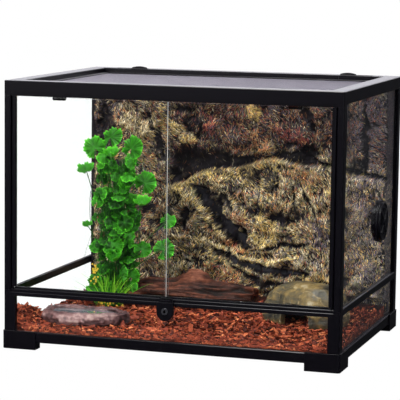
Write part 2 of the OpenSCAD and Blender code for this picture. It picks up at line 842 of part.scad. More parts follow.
module inlet_gate(s) {
    groove = inlet_w / 2 - 1.2;
    length = groove - 0.3;
    z0 = gate_z + gate_fit;
    gd = groove_d / 2 - gate_fit;
    nd = neck_d / 2 - gate_fit;
    tab_top = tank_h + gate_tab_h;
    color(black)
        at_inlet(s)
            translate([-groove + 0.2 + length / 2, 0, 0]) {
                box(-length / 2, length / 2, -gd, gd, z0, z0 + gate_t);
                box(-length / 2, length / 2, -nd, nd, z0, inlet_top + 0.8);
                intersection() {
                    box(-length / 2, length / 2, -1.8, 1.8, z0, tab_top);
                    translate([0, 3, tab_top - 1.6 * length])
                        rotate([90, 0, 0]) cylinder(r = 1.6 * length, h = 6, $fn = 96);
                }
            }
}

// Vent port: a flange with four windows, a turning shutter with four more and a nut inside.
port_x = tank_w / 2 - frame_wall - glass_fit;
module at_port() {
    translate([port_x, port_y, port_z]) rotate([0, 90, 0]) children();
}
module vent_windows(r0, r1, start, h) {
    for (k = [0:3])
        rotate([0, 0, start + 90 * k])
            intersection() {
                difference() {
                    cylinder(r = r1, h = h);
                    translate([0, 0, -1]) cylinder(r = r0, h = h + 2);
                }
                linear_extrude(h)
                    polygon([
                        [0, 0],
                        [2 * r1 * cos(vent_deg / 2), -2 * r1 * sin(vent_deg / 2)],
                        [2 * r1 * cos(vent_deg / 2), 2 * r1 * sin(vent_deg / 2)]
                    ]);
            }
}
port_floor = 1.2;
module port_flange() {
    bore_r = port_tube_r - port_wall;
    cup_r = shutter_r + 0.3;
    color(black)
        at_port()
            difference() {
                union() {
                    cylinder(r = port_flange_r, h = 4);
                    cylinder(r = cup_r + 3.5, h = 8.5);
                    translate([0, 0, -glass_t - 8]) cylinder(r = port_tube_r, h = glass_t + 9);
                }
                translate([0, 0, -glass_t - 9]) cylinder(r = bore_r, h = glass_t + 9 + port_floor);
                translate([0, 0, port_floor + 2.8]) cylinder(r = cup_r, h = 10);
                vent_windows(9, bore_r - 2.5, 45, port_floor + 4);
                cylinder(r = 4 + pin_fit, h = 10);
            }
}
module port_nut() {
    grips = 12;
    color(black)
        at_port()
            translate([0, 0, -glass_t - 5])
                difference() {
                    union() {
                        cylinder(r = port_flange_r - 3, h = 5);
                        for (k = [0:grips - 1])
                            rotate([0, 0, k * 360 / grips])
                                translate([port_flange_r - 3, 0, 0]) cylinder(r = 2.4, h = 4);
                    }
                    translate([0, 0, -1]) cylinder(r = port_tube_r + 0.1, h = 7);
                }
}
module port_shutter() {
    floor_z = port_floor + 2.8 + 0.3;
    color("#202024")
        at_port()
            difference() {
                union() {
                    translate([0, 0, floor_z]) cylinder(r = shutter_r, h = 3);
                    translate([0, 0, port_floor + 0.3]) cylinder(r = 4, h = floor_z - port_floor);
                    translate([0, 0, floor_z]) cylinder(r = 8, h = 7.5);
                    for (k = [0:3])
                        rotate([0, 0, 45 + 90 * k])
                            translate([0, -2, floor_z]) cube([shutter_r - 3, 4, 5.5]);
                }
                translate([0, 0, floor_z - 1])
                    vent_windows(9, port_tube_r - port_wall - 2.5, 0, 5);
                translate([0, 0, floor_z + 6]) cylinder(r = 5, h = 4);
            }
}

// Solids from a grid of points: row by row, seen from the front face, with a matching flat back.
function grid_rim(nx, ny) = concat(
    [for (i = [0:nx - 1]) i],
    [for (j = [1:ny - 1]) j * nx + nx - 1],
    [for (i = [nx - 2:-1:0]) (ny - 1) * nx + i],
    [for (j = [ny - 2:-1:1]) j * nx]
);
module grid_solid(nx, ny, front, back) {
    rim = grid_rim(nx, ny);
    n = len(rim);
    m = nx * ny;
    surface = [
        for (j = [0:ny - 2], i = [0:nx - 2], k = [0, 1])
            let (a = j * nx + i)
                k == 0 ? [a, a + nx, a + 1] : [a + 1, a + nx, a + nx + 1]
    ];
    sides = [
        for (q = [0:n - 1], k = [0, 1])
            let (r = (q + 1) % n)
                k == 0 ? [rim[q], rim[r], m + r] : [rim[q], m + r, m + q]
    ];
    middle = (back[0] + back[m - 1]) / 2;
    back_fan = [for (q = [0:n - 1]) [m + q, m + (q + 1) % n, m + n]];
    polyhedron(
        points = concat(front, [for (q = rim) back[q]], [middle]),
        faces = concat(surface, sides, back_fan)
    );
}

// Solids from rings of points, each counted anticlockwise from above, lowest ring first.
module ring_solid(rings) {
    n = len(rings[0]);
    m = len(rings);
    walls = [
        for (k = [0:m - 2], i = [0:n - 1], t = [0, 1])
            let (j = (i + 1) % n, a = k * n, b = (k + 1) * n)
                t == 0 ? [a + i, b + i, b + j] : [a + i, b + j, a + j]
    ];
    caps = [[for (i = [0:n - 1]) i], [for (i = [n - 1:-1:0]) (m - 1) * n + i]];
    polyhedron(points = [for (r = rings) each r], faces = concat(walls, caps));
}
function smooth(a, b, t) = let (u = min(max((t - a) / (b - a), 0), 1)) u * u * (3 - 2 * u);
function lobes(t) = 1 + 0.05 * sin(3 * t + 40) + 0.035 * sin(5 * t + 110) + 0.02 * sin(9 * t);

// Rock background: a ledge under an overhang, a gully, cracks and lobes, thicker towards the right side.
rock_nx = 50;
rock_nz = 36;
rock_z0 = base_glass_top;
rock_z1 = top_z + 2;
rock_back_y = tank_d / 2 - prof_t - edge_fit;
// The lines run across the panel of the tank as drawn, and are spread with it.
drawn_w = 584.6;
drawn_h = 472;
ledge = [[-130, 232], [-95, 255], [-44, 284], [43, 296], [94, 314], [185, 312], [262, 286], [300, 282]];
gully = [[-92, 262], [-55, 233], [-11, 173], [10, 148], [36, 136]];
crack = [[-34, 141], [8, 125], [45, 113], [87, 121], [170, 122]];
left_crack = [[-150, 420], [-98, 392], [-72, 372], [-40, 368]];
corner_fold = [[250, 420], [252, 340], [250, 296]];
lobe = [[20, 205], [45, 205], [72, 172], [55, 160]];
shelf = [[84, 178], [149, 180], [172, 176]];
top_ridge = [[-140, 398], [-100, 366], [-52, 352]];
left_swell = [[-208, 398], [-160, 352], [-140, 330]];
low_ridge = [[-125, 153], [-79, 160], [-33, 134], [10, 102], [47, 66]];
function near_leg(p, a, b) =
    let (d = b - a, t = min(max((p - a) * d / (d * d), 0), 1))
    norm(p - a - t * d);
function near_line(p, line) = min([for (i = [0:len(line) - 2]) near_leg(p, line[i], line[i + 1])]);
function along(p, line, w) = let (q = near_line(p, line) / w) exp(-q * q);
function rock_depth(x, z) =
    let (
        u = x * drawn_w / inside_w,
        v = z * drawn_h / tank_h,
        p = [u + 4 * sin(v * 6) + 3 * sin(u * 9 + 40), v + 4 * sin(u * 7 + 80) + 3 * sin(v * 11)],
        edge = lookup(p[0], ledge),
        reach = smooth(-140, -80, p[0]),
        below = smooth(edge + 6, edge - 6, p[1]) * smooth(edge - 150, edge - 60, p[1]) * reach,
        over = smooth(edge - 2, edge + 6, p[1]) * (1 - smooth(edge + 30, edge + 58, p[1])) * reach,
        hollows = 13 * over + 17 * along(p, gully, 14) + 9 * along(p, crack, 10)
            + 12 * along(p, corner_fold, 8) + 8 * along(p, left_crack, 10),
        swells = 14 * below + 9 * along(p, lobe, 17) + 6 * along(p, shelf, 12)
            + 8 * along(p, top_ridge, 11) + 6 * along(p, left_swell, 26) + 6 * along(p, low_ridge, 24),
        lumps = 5 * sin(u * 4.1 + v * 2.3) * cos(v * 5.2 - u * 1.7) + 3 * sin(u * 8.3 - v * 5.9 + 50)
    )
    rock_t + 16 + 22 * smooth(40, 280, u) + swells - hollows + lumps;
function rock_reach(x, z) = z < soil_z + 20 ? rock_t : min(max(rock_t, rock_depth(x, z)), rock_max);
module rock_background() {
    xs = [for (i = [0:rock_nx - 1]) -inside_w / 2 + inside_w * i / (rock_nx - 1)];
    zs = [for (j = [0:rock_nz - 1]) rock_z0 + (rock_z1 - rock_z0) * j / (rock_nz - 1)];
    color("#5d5348")
        grid_solid(
            rock_nx,
            rock_nz,
            [for (z = zs, x = xs) [x, rock_back_y - rock_reach(x, z), z]],
            [for (z = zs, x = xs) [x, rock_back_y, z]]
        );
}

// Bark chips: level where things stand on them, heaped in the front left corner and at the rear.
soil_nx = 36;
soil_ny = 26;
soil_rear_y = rock_back_y - rock_t - 0.3;
function soil_height(x, y) =
    let (
        left = 1 - smooth(4, 30, x + inside_w / 2),
        front = 1 - smooth(20, 90, y + inside_d / 2),
        rear = smooth(120, 175, y),
        rough = sin(x * 9) * cos(y * 11) + sin(x * 4 + y * 5)
    )
    soil_z + 24 * left * front + (9 + 1.5 * rough) * rear;
module bark_substrate() {
    xs = [for (i = [0:soil_nx - 1]) -inside_w / 2 + inside_w * i / (soil_nx - 1)];
    ys = [for (j = [0:soil_ny - 1]) -inside_d / 2 + (soil_rear_y + inside_d / 2) * j / (soil_ny - 1)];
    color("#7d3f27")
        grid_solid(
            soil_nx,
            soil_ny,
            [for (y = ys, x = xs) [x, y, soil_height(x, y)]],
            [for (y = ys, x = xs) [x, y, base_glass_top]]
        );
}

// Water dish: a low rock bowl with a lobed outline.
dish_c = [-inside_w / 2 + dish_in_x, -inside_d / 2 + dish_in_y];
dish_n = 32;
dish_floor = 7;
water_drop = 6;
function dish_ring(grow, z) = [
    for (i = [0:dish_n - 1])
        let (t = 360 * i / dish_n, k = lobes(t))
            [
                dish_c[0] + (dish_w / 2 * k + grow) * cos(t) * 0.93,
                dish_c[1] + (dish_d / 2 * k + grow) * sin(t) * 0.93,
                z
            ]
];
module water_dish() {
    z = soil_z;
    color("#8b7f86")
        ring_solid([
            dish_ring(-9, z), dish_ring(-2, z + 5), dish_ring(0, z + 13), dish_ring(-4, z + dish_h - 4),
            dish_ring(-11, z + dish_h), dish_ring(-17, z + dish_h - 2), dish_ring(-22, z + dish_floor + 5),
            dish_ring(-28, z + dish_floor)
        ]);
}
module dish_water() {
    z = soil_z + dish_floor;
    color([0.6, 0.72, 0.78, 0.6])
        ring_solid([
            dish_ring(-28.5, z),
            dish_ring(-22.6, z + 5),
            dish_ring(-20.2, z + dish_h - dish_floor - water_drop)
        ]);
}

// Rock hide: a hollow dome with an arched doorway.
hide_n = 28;
function boxy(c) = sign(c) * pow(abs(c), 0.72);
function hide_ring(w, d, z, shift) = [
    for (i = [0:hide_n - 1])
        let (t = 360 * i / hide_n + 3, k = lobes(t + 70))
            [w / 2 * k * boxy(cos(t)) * 0.93 + shift, d / 2 * k * boxy(sin(t)) * 0.93, z]
];
module hide_cave() {
    wall = 13;
    arch_w = 60;
    arch_h = 40;
    arch_x = 12;
    color("#8a8563")
        translate([hide_c[0], hide_c[1], soil_z])
            rotate([0, 0, -hide_turn])
                difference() {
                    ring_solid([
                        hide_ring(hide_w - 6, hide_d - 6, 0, 0),
                        hide_ring(hide_w, hide_d, 10, 0),
                        hide_ring(hide_w * 0.97, hide_d * 0.95, hide_h * 0.42, 0),
                        hide_ring(hide_w * 0.87, hide_d * 0.82, hide_h * 0.72, 2),
                        hide_ring(hide_w * 0.62, hide_d * 0.56, hide_h * 0.93, 4),
                        hide_ring(hide_w * 0.28, hide_d * 0.26, hide_h, 6)
                    ]);
                    ring_solid([
                        hide_ring(hide_w - 2 * wall - 6, hide_d - 2 * wall - 6, -1, 0),
                        hide_ring(hide_w - 2 * wall - 6, hide_d - 2 * wall - 6, hide_h * 0.36, 0),
                        hide_ring(hide_w * 0.56, hide_d * 0.5, hide_h * 0.74, 2)
                    ]);
                    translate([arch_x, -hide_d / 2 + 40, 0])
                        rotate([90, 0, 0])
                            linear_extrude(hide_d) {
                                translate([-arch_w / 2, -1]) square([arch_w, arch_h - arch_w / 2 + 1]);
                                translate([0, arch_h - arch_w / 2]) circle(arch_w / 2, $fn = 24);
                            }
                }
}

// Driftwood: a weathered half log lying on the chips.
module driftwood() {
    n = 14;
    steps = 15;
    z = soil_z;
    color("#7a4b2e")
        translate([wood_x0 + wood_span / 2, 0.143 * inside_d, z])
            rotate([0, 0, 6])
                rotate([0, 90, 0])
                    ring_solid([
                        for (k = [0:steps - 1])
                            let (
                                u = k / (steps - 1),
                                fat = 0.72 + 0.28 * sin(180 * u) + 0.07 * sin(900 * u),
                                sway = 7 * sin(300 * u)
                            )
                            [
                                for (i = [0:n - 1])
                                    let (
                                        t = 360 * i / n,
                                        k2 = 1 + 0.09 * sin(4 * t + 200 * u) + 0.05 * sin(7 * t - 500 * u),
                                        up = (0.5 + 0.5 * cos(t)) * 60 * fat * k2,
                                        across = 46 * fat * k2 * sin(t) + sway
                                    )
                                    [-max(up, 0), across, -wood_span / 2 + wood_span * u]
                            ]
                    ]);
}

// Plant: fan-shaped leaves on thin stems that rise from a weighted base.
leaf_t = 1.6;
stem_r = 1.6;
// Leaves: where each stem meets its leaf, from the plant's base, then the leaf's radius and lean.
leaves = [
    [-32, 8, 296, 25, 35], [2, 12, 318, 27, 20], [44, 0, 300, 26, 30], [8, -14, 288, 24, 48],
    [-54, -10, 262, 21, 40], [68, 10, 238, 27, 26], [36, -6, 228, 24, 44], [100, 0, 118, 22, 30],
    [97, 24, 162, 17, 50], [-52, 4, 152, 13, 36], [-14, 20, 240, 22, 52], [20, 26, 196, 20, 40],
    [-22, -18, 214, 19, 30], [60, -16, 184, 20, 52]
];
plant_top = 150;
module rod(a, b, r) {
    d = b - a;
    length = norm(d);
    translate(a)
        rotate([0, acos(d[2] / length), atan2(d[1], d[0])])
            cylinder(r = r, h = length, $fn = 8);
}
module plant_base() {
    color("#4a3a28")
        translate([plant_c[0], plant_c[1], soil_z]) {
            cylinder(r = 19, h = 6);
            translate([0, 0, 6 - eps]) cylinder(r1 = 14, r2 = 6, h = 12);
        }
}
module plant_stems() {
    color("#4f9a2c")
        translate([plant_c[0], plant_c[1], soil_z + 18]) {
            cylinder(r = 4, h = plant_top - 18, $fn = 12);
            for (l = leaves) {
                fork = [0, 0, min(plant_top - 22, l[2] * 0.45)];
                rod(fork, [l[0], l[1], l[2] - 18 - leaf_t / 2], stem_r);
            }
        }
}
function scallop(r, t) = r * (1 + 0.07 * cos(t * 9)) * (0.86 + 0.14 * cos(t * 0.7));
module fan_leaf(r) {
    linear_extrude(leaf_t)
        polygon(concat(
            [[0, -0.12 * r]],
            [for (k = [-26:26]) scallop(r, k * 5) * [sin(k * 5), cos(k * 5)]]
        ));
}
module plant_leaves() {
    color("#6fc435")
        for (l = leaves)
            translate([plant_c[0] + l[0], plant_c[1] + l[1], soil_z + l[2]])
                rotate([90 - l[4], 0, 0])
                    rotate([0, 0, -atan2(l[0], l[2] - plant_top)]) fan_leaf(l[3]);
}

bottom_frame();
foot(-1, -1);  // foot_front_left
foot(1, -1);  // foot_front_right
foot(-1, 1);  // foot_rear_left
foot(1, 1);  // foot_rear_right
base_glass();
lower_glass_front();
lower_glass_rear();
lower_glass_left();
lower_glass_right();
lower_post(-1, -1);  // lower_post_front_left
lower_post(1, -1);  // lower_post_front_right
lower_post(-1, 1);  // lower_post_rear_left
lower_post(1, 1);  // lower_post_rear_right
mid_rail_front();
mid_rail_rear();
mid_rail_left();
mid_rail_right();
upper_post(-1, -1);  // upper_post_front_left
upper_post(1, -1);  // upper_post_front_right
upper_post(-1, 1);  // upper_post_rear_left
upper_post(1, 1);  // upper_post_rear_right
side_glass_left();
side_glass_right();
rear_glass();
top_frame();
door_header();
door_glass(-1);  // left_door_glass
door_stile(-1);  // left_door_stile
left_door_seal();
door_glass(1);  // right_door_glass
door_stile(1);  // right_door_stile
latch_housing();
latch_bolt();
latch_knob();
lid_frame();
lid_mesh();
lid_clip(-1);  // lid_clip_left
lid_clip(1);  // lid_clip_right
inlet_block(-1);  // inlet_block_left
inlet_block(1);  // inlet_block_right
inlet_gate(-1);  // inlet_gate_left
inlet_gate(1);  // inlet_gate_right
port_flange();
port_nut();
port_shutter();
rock_background();
bark_substrate();
water_dish();
dish_water();
hide_cave();
driftwood();
plant_base();
plant_stems();
plant_leaves();
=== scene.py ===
import json
import math

import bmesh
import bpy
import numpy as np
from mathutils import Matrix, Vector

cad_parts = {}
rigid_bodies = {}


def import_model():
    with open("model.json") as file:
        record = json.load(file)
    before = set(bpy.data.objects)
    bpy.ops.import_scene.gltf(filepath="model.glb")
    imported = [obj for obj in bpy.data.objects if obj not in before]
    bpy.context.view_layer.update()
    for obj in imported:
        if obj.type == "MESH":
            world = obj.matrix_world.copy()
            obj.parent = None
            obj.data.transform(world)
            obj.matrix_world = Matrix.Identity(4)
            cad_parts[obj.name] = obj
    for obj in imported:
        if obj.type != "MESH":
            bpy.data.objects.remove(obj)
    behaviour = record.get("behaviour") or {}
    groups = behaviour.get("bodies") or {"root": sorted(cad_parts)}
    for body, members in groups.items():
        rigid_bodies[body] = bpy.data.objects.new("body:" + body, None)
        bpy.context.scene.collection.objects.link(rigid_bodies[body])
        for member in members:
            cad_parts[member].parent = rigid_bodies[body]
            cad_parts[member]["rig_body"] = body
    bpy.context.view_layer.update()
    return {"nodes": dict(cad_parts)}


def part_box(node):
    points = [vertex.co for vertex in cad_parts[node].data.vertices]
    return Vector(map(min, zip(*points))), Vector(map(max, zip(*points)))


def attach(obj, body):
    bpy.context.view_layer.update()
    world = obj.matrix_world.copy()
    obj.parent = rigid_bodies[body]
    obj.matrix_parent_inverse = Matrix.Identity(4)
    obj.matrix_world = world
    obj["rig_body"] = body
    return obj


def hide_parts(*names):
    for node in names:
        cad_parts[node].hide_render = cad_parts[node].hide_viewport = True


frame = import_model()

MM = 0.001
nodes = frame["nodes"]


# -------- noise

def lattice(ix, iy, iz, seed):
    """A fixed number from 0 to 1 for each whole place."""
    h = (ix.astype(np.int64) * 73856093) ^ (iy.astype(np.int64) * 19349663) ^ (iz.astype(np.int64) * 83492791)
    h = h ^ (seed * 2654435761)
    h = ((h ^ (h >> 13)) * 1274126177) & 0x7FFFFFFF
    h = ((h ^ (h >> 15)) * 2246822519) & 0x7FFFFFFF
    h = h ^ (h >> 11)
    return (h & 0xFFFFFF) / float(0xFFFFFF)


def vnoise(x, y, z, seed):
    """Smooth noise from -1 to 1, with lumps one unit wide."""
    x, y, z = np.broadcast_arrays(np.asarray(x, float), np.asarray(y, float), np.asarray(z, float))
    fx, fy, fz = np.floor(x), np.floor(y), np.floor(z)
    u, v, w = x - fx, y - fy, z - fz
    u, v, w = [t * t * t * (t * (t * 6 - 15) + 10) for t in (u, v, w)]
    total = 0.0
    for i in (0, 1):
        for j in (0, 1):
            for k in (0, 1):
                weight = (u if i else 1 - u) * (v if j else 1 - v) * (w if k else 1 - w)
                total = total + weight * lattice(fx + i, fy + j, fz + k, seed)
    return total * 2 - 1


def fbm(x, y, z, octaves, seed):
    """Noise with finer noise added, each octave about half as wide and half as strong."""
    total, amp, freq, norm = 0.0, 1.0, 1.0, 0.0
    place = [np.asarray(v, float) for v in (x, y, z)]
    for o in range(octaves):
        total = total + amp * vnoise(*[v * freq for v in place], seed + 17 * o)
        norm += amp
        amp *= 0.5
        freq *= 2.03
    return total / norm


def smooth(a, b, t):
    """Eases from 0 at a to 1 at b."""
    u = np.clip((t - a) / (b - a), 0, 1)
    return u * u * (3 - 2 * u)


def line_distance(x, z, points):
    """Distance to a line of points, and how far along it the nearest place lies, from 0 to 1."""
    best, along = np.full(np.shape(x), 1e9), np.zeros(np.shape(x))
    count = len(points) - 1
    for k, ((ax, az), (bx, bz)) in enumerate(zip(points[:-1], points[1:])):
        dx, dz = bx - ax, bz - az
        t = np.clip(((x - ax) * dx + (z - az) * dz) / (dx * dx + dz * dz), 0, 1)
        d = np.hypot(x - ax - t * dx, z - az - t * dz)
        along = np.where(d < best, (k + t) / count, along)
        best = np.minimum(best, d)
    return best, along


# -------- shapes and pieces

def shape(make):
    """A small mesh that make(bm) builds with bmesh operators, as a start for pieces."""
    bm = bmesh.new()
    make(bm)
    me = bpy.data.meshes.new("shape")
    bm.to_mesh(me)
    bm.free()
    return me


def grid(columns, rows, flip=False):
    """A flat grid. Its corners run along each row in turn."""
    def make(bm):
        bmesh.ops.create_grid(bm, x_segments=columns, y_segments=rows, size=1)
        if flip:
            bmesh.ops.reverse_faces(bm, faces=bm.faces[:])
    return shape(make)


def corners(start):
    """The places of a shape's corners, one row each."""
    return np.array([v.co for v in start.vertices])


def linked(name, data):
    """A new object with this data, in the scene."""
    o = bpy.data.objects.new(name, data)
    bpy.context.scene.collection.objects.link(o)
    return o


def wear(o, material):
    """Gives an object one material."""
    o.data.materials.clear()
    o.data.materials.append(material)


def finished(name, me, places, material, smooth_faces, values):
    """Moves a mesh's corners to places in mm, gives it values and a material, and makes it a piece."""
    me.name = name
    me.vertices.foreach_set("co", (places * MM).astype(np.float32).ravel())
    me.update()
    me.polygons.foreach_set("use_smooth", np.full(len(me.polygons), smooth_faces))
    for key, value in values.items():
        single = value.ndim == 1
        layer = me.attributes.new(key, "FLOAT" if single else "FLOAT_VECTOR", "POINT")
        layer.data.foreach_set("value" if single else "vector", value.astype(np.float32).ravel())
    o = linked(name, me)
    wear(o, material)
    return o


def sheet(name, places, material, flip=False, **values):
    """A smooth surface through rows of places in mm."""
    rows, columns = places.shape[:2]
    return finished(name, grid(columns - 1, rows - 1, flip), places, material, True, values)


class Cluster:
    """One piece of many small shapes, each with the places in mm that its corners take, and a value there."""

    def __init__(self):
        self.bm, self.places, self.values = bmesh.new(), [], []

    def add(self, start, places, value=0.0):
        self.bm.from_mesh(start, face_normals=False, vertex_normals=False)
        self.places.append(places)
        self.values.append(np.full(len(places), value) if np.ndim(value) == 0 else value)

    def build(self, name, material, smooth_faces=True, key="tone"):
        me = bpy.data.meshes.new(name)
        self.bm.to_mesh(me)
        self.bm.free()
        values = {key: np.concatenate(self.values)}
        return finished(name, me, np.concatenate(self.places), material, smooth_faces, values)


def close_poles(o):
    """Merges the corners of a piece that lie in one place."""
    bm = bmesh.new()
    bm.from_mesh(o.data)
    bmesh.ops.remove_doubles(bm, verts=bm.verts, dist=1e-7)
    bm.to_mesh(o.data)
    bm.free()


def belongs(o, body="tank", stands_for=None):
    """Says which body a piece rides on, and which CAD node it replaces."""
    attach(o, body)
    if stands_for:
        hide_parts(stands_for)


# -------- materials

def connect(nt, socket, value):
    """Links an input or sets its value. A colour has three numbers."""
    if isinstance(value, bpy.types.NodeSocket):
        nt.links.new(value, socket)
    elif socket.type == "RGBA":
        socket.default_value = (*value, 1)
    else:
        socket.default_value = value


def node(nt, kind, **inputs):
    """A node with these inputs. An underscore stands for a space."""
    n = nt.nodes.new(kind)
    for key, value in inputs.items():
        connect(nt, n.inputs[key.replace("_", " ")], value)
    return n


def math_node(nt, operation, *values):
    n = nt.nodes.new("ShaderNodeMath")
    n.operation = operation
    for socket, value in zip(n.inputs, values):
        connect(nt, socket, value)
    return n.outputs["Value"]


def mix_shader(nt, factor, first, second):
    n = nt.nodes.new("ShaderNodeMixShader")
    for socket, value in zip(n.inputs, (factor, first, second)):
        connect(nt, socket, value)
    return n.outputs["Shader"]


def mix_color(nt, factor, a, b, blend="MIX"):
    n = nt.nodes.new("ShaderNodeMix")
    n.data_type = "RGBA"
    n.blend_type = blend
    for socket, value in zip((n.inputs[0], n.inputs[6], n.inputs[7]), (factor, a, b)):
        connect(nt, socket, value)
    return n.outputs[2]


def ramp(nt, value, stops):
    n = node(nt, "ShaderNodeValToRGB", Fac=value)
    elements = n.color_ramp.elements
    while len(elements) > 1:
        elements.remove(elements[-1])
    elements[0].position, elements[0].color = stops[0][0], (*stops[0][1], 1)
    for position, color in stops[1:]:
        elements.new(position).color = (*color, 1)
    return n.outputs["Color"]


def attribute(nt, name, output):
    n = nt.nodes.new("ShaderNodeAttribute")
    n.attribute_name = name
    return n.outputs[output]


def node_group(name, inputs, outputs):
    """A shader node group with named sockets: the group, what it is given and what it puts out."""
    group = bpy.data.node_groups.new(name, "ShaderNodeTree")
    for key, value in inputs.items():
        color = np.ndim(value) == 1
        kind = "NodeSocketColor" if color else "NodeSocketFloat"
        socket = group.interface.new_socket(key, in_out="INPUT", socket_type=kind)
        socket.default_value = (*value, 1) if color else value
    for key, kind in outputs.items():
        group.interface.new_socket(key, in_out="OUTPUT", socket_type=kind)
    return group, group.nodes.new("NodeGroupInput").outputs, group.nodes.new("NodeGroupOutput").inputs


def placed(nt, group, **inputs):
    """A group placed in a material with its own values. Returns its outputs."""
    n = nt.nodes.new("ShaderNodeGroup")
    n.node_tree = group
    for key, value in inputs.items():
        connect(nt, n.inputs[key], value)
    return n.outputs


def grain_group():
    """Fine grain on Object coordinates: its value, and the normal of the same grain raised."""
    group, given, result = node_group(
        "surface_grain",
        {
            "Scale": 300.0, "Detail": 4.0, "Roughness": 0.6, "Distortion": 0.0, "Strength": 0.4,
            "Distance": 0.001,
        },
        {"Grain": "NodeSocketFloat", "Normal": "NodeSocketVector"},
    )
    place = group.nodes.new("ShaderNodeTexCoord").outputs["Object"]
    noise = node(group, "ShaderNodeTexNoise", Vector=place, **{
        key: given[key] for key in ("Scale", "Detail", "Roughness", "Distortion")
    }).outputs["Fac"]
    raised = node(group, "ShaderNodeBump", Height=noise, Strength=given["Strength"], Distance=given["Distance"])
    connect(group, result["Grain"], noise)
    connect(group, result["Normal"], raised.outputs["Normal"])
    return group


def mottle_group():
    """A shade with blotches added to it and taken from it."""
    group, given, result = node_group(
        "mottled_shade",
        {"Shade": 0.5, "Scale": 100.0, "Detail": 3.0, "Roughness": 0.6, "Distortion": 0.0, "Amount": 0.5},
        {"Shade": "NodeSocketFloat"},
    )
    blotches = placed(group, SURFACE_GRAIN, **{
        key: given[key] for key in ("Scale", "Detail", "Roughness", "Distortion")
    })["Grain"]
    change = math_node(group, "MULTIPLY", math_node(group, "SUBTRACT", blotches, 0.5), given["Amount"])
    connect(group, result["Shade"], math_node(group, "ADD", given["Shade"], change))
    return group


def tint_and_shade_group():
    """A colour that is darker in the hollows of the grain and lighter on its tops: where the grain is also
    raised as a bump, this is painted shade in its hollows and painted light on its tops.
    """
    group, given, result = node_group(
        "grain_tint_and_shade",
        {
            "Color": (1, 1, 1), "Grain": 0.5, "Low": 0.3, "High": 0.7, "Hollow": (0.6, 0.6, 0.6),
            "Top": (1, 1, 1),
        },
        {"Color": "NodeSocketColor"},
    )
    rise = node(
        group, "ShaderNodeMapRange", Value=given["Grain"], From_Min=given["Low"], From_Max=given["High"],
    )
    shade = mix_color(group, rise.outputs["Result"], given["Hollow"], given["Top"])
    connect(group, result["Color"], mix_color(group, 1.0, given["Color"], shade, "MULTIPLY"))
    return group


SURFACE_GRAIN = grain_group()
MOTTLED_SHADE = mottle_group()
GRAIN_TINT_AND_SHADE = tint_and_shade_group()


def new_material(name):
    m = bpy.data.materials.new(name)
    m.use_nodes = True
    m.node_tree.nodes.clear()
    return m, m.node_tree, m.node_tree.nodes.new("ShaderNodeOutputMaterial")


def surface(nt, out, **inputs):
    """Gives a material one Principled surface."""
    connect(nt, out.inputs["Surface"], node(nt, "ShaderNodeBsdfPrincipled", **inputs).outputs["BSDF"])


def moulded(name, color, rough, spec=0.17):
    """Plastic or metal with a barely grained face."""
    m, nt, out = new_material(name)
    grain = placed(nt, SURFACE_GRAIN, Scale=1400, Detail=2, Roughness=0.5, Strength=0.02, Distance=0.0004)
    surface(nt, out, Base_Color=color, Roughness=rough, Specular_IOR_Level=spec, Normal=grain["Normal"])
    return m


def glass(name, painted_end_light=None):
    """Glass that lets shadow and diffuse rays straight through. The ends of a pane may take a flat colour, a
    painted reflection of what shows through them.
    """
    m, nt, out = new_material(name)
    pane = node(
        nt, "ShaderNodeBsdfPrincipled", Base_Color=(0.985, 1.0, 0.995), Metallic=0.0, Roughness=0.0, IOR=1.3,
        Transmission_Weight=1.0,
    )
    clear = node(nt, "ShaderNodeBsdfTransparent", Color=(0.97, 0.985, 0.98))
    path = nt.nodes.new("ShaderNodeLightPath").outputs
    straight = math_node(nt, "MAXIMUM", path["Is Shadow Ray"], path["Is Diffuse Ray"])
    looks = mix_shader(nt, straight, pane.outputs["BSDF"], clear.outputs["BSDF"])
    if painted_end_light:
        painted_end = node(nt, "ShaderNodeBsdfDiffuse", Color=painted_end_light)
        facing = node(nt, "ShaderNodeSeparateXYZ", Vector=nt.nodes.new("ShaderNodeTexCoord").outputs["Normal"])
        at_end = math_node(nt, "GREATER_THAN", math_node(nt, "ABSOLUTE", facing.outputs["X"]), 0.5)
        looks = mix_shader(nt, at_end, looks, painted_end.outputs["BSDF"])
    connect(nt, out.inputs["Surface"], looks)
    return m


def seal_material():
    """A clear strip, seen only as a slight veil."""
    m, nt, out = new_material("seal_clear")
    veil = node(nt, "ShaderNodeBsdfPrincipled", Base_Color=(0.2, 0.19, 0.19), Roughness=0.5)
    clear = nt.nodes.new("ShaderNodeBsdfTransparent")
    connect(nt, out.inputs["Surface"], mix_shader(nt, 0.02, clear.outputs["BSDF"], veil.outputs["BSDF"]))
    return m


BLACK = moulded("frame_black", (0.0015, 0.0012, 0.0026), 0.3)
BLACK_SOFT = moulded("frame_black_soft", (0.004, 0.004, 0.006), 0.42)
METAL = moulded("lock_metal", (0.015, 0.015, 0.018), 0.22)
WIRE = moulded("mesh_wire", (0.2, 0.185, 0.225), 0.45, 0.5)
GLASS = glass("glass_clear")
# The end of the left door's pane is painted pale, a painted reflection of the bright backdrop, and that of the
# right door's pane is painted dark.
DOOR_GLASS = {
    "left_door_glass": glass("glass_left_door", (0.6, 0.62, 0.6)),
    "right_door_glass": glass("glass_right_door", (0.08, 0.082, 0.08)),
}


# -------- frame pieces

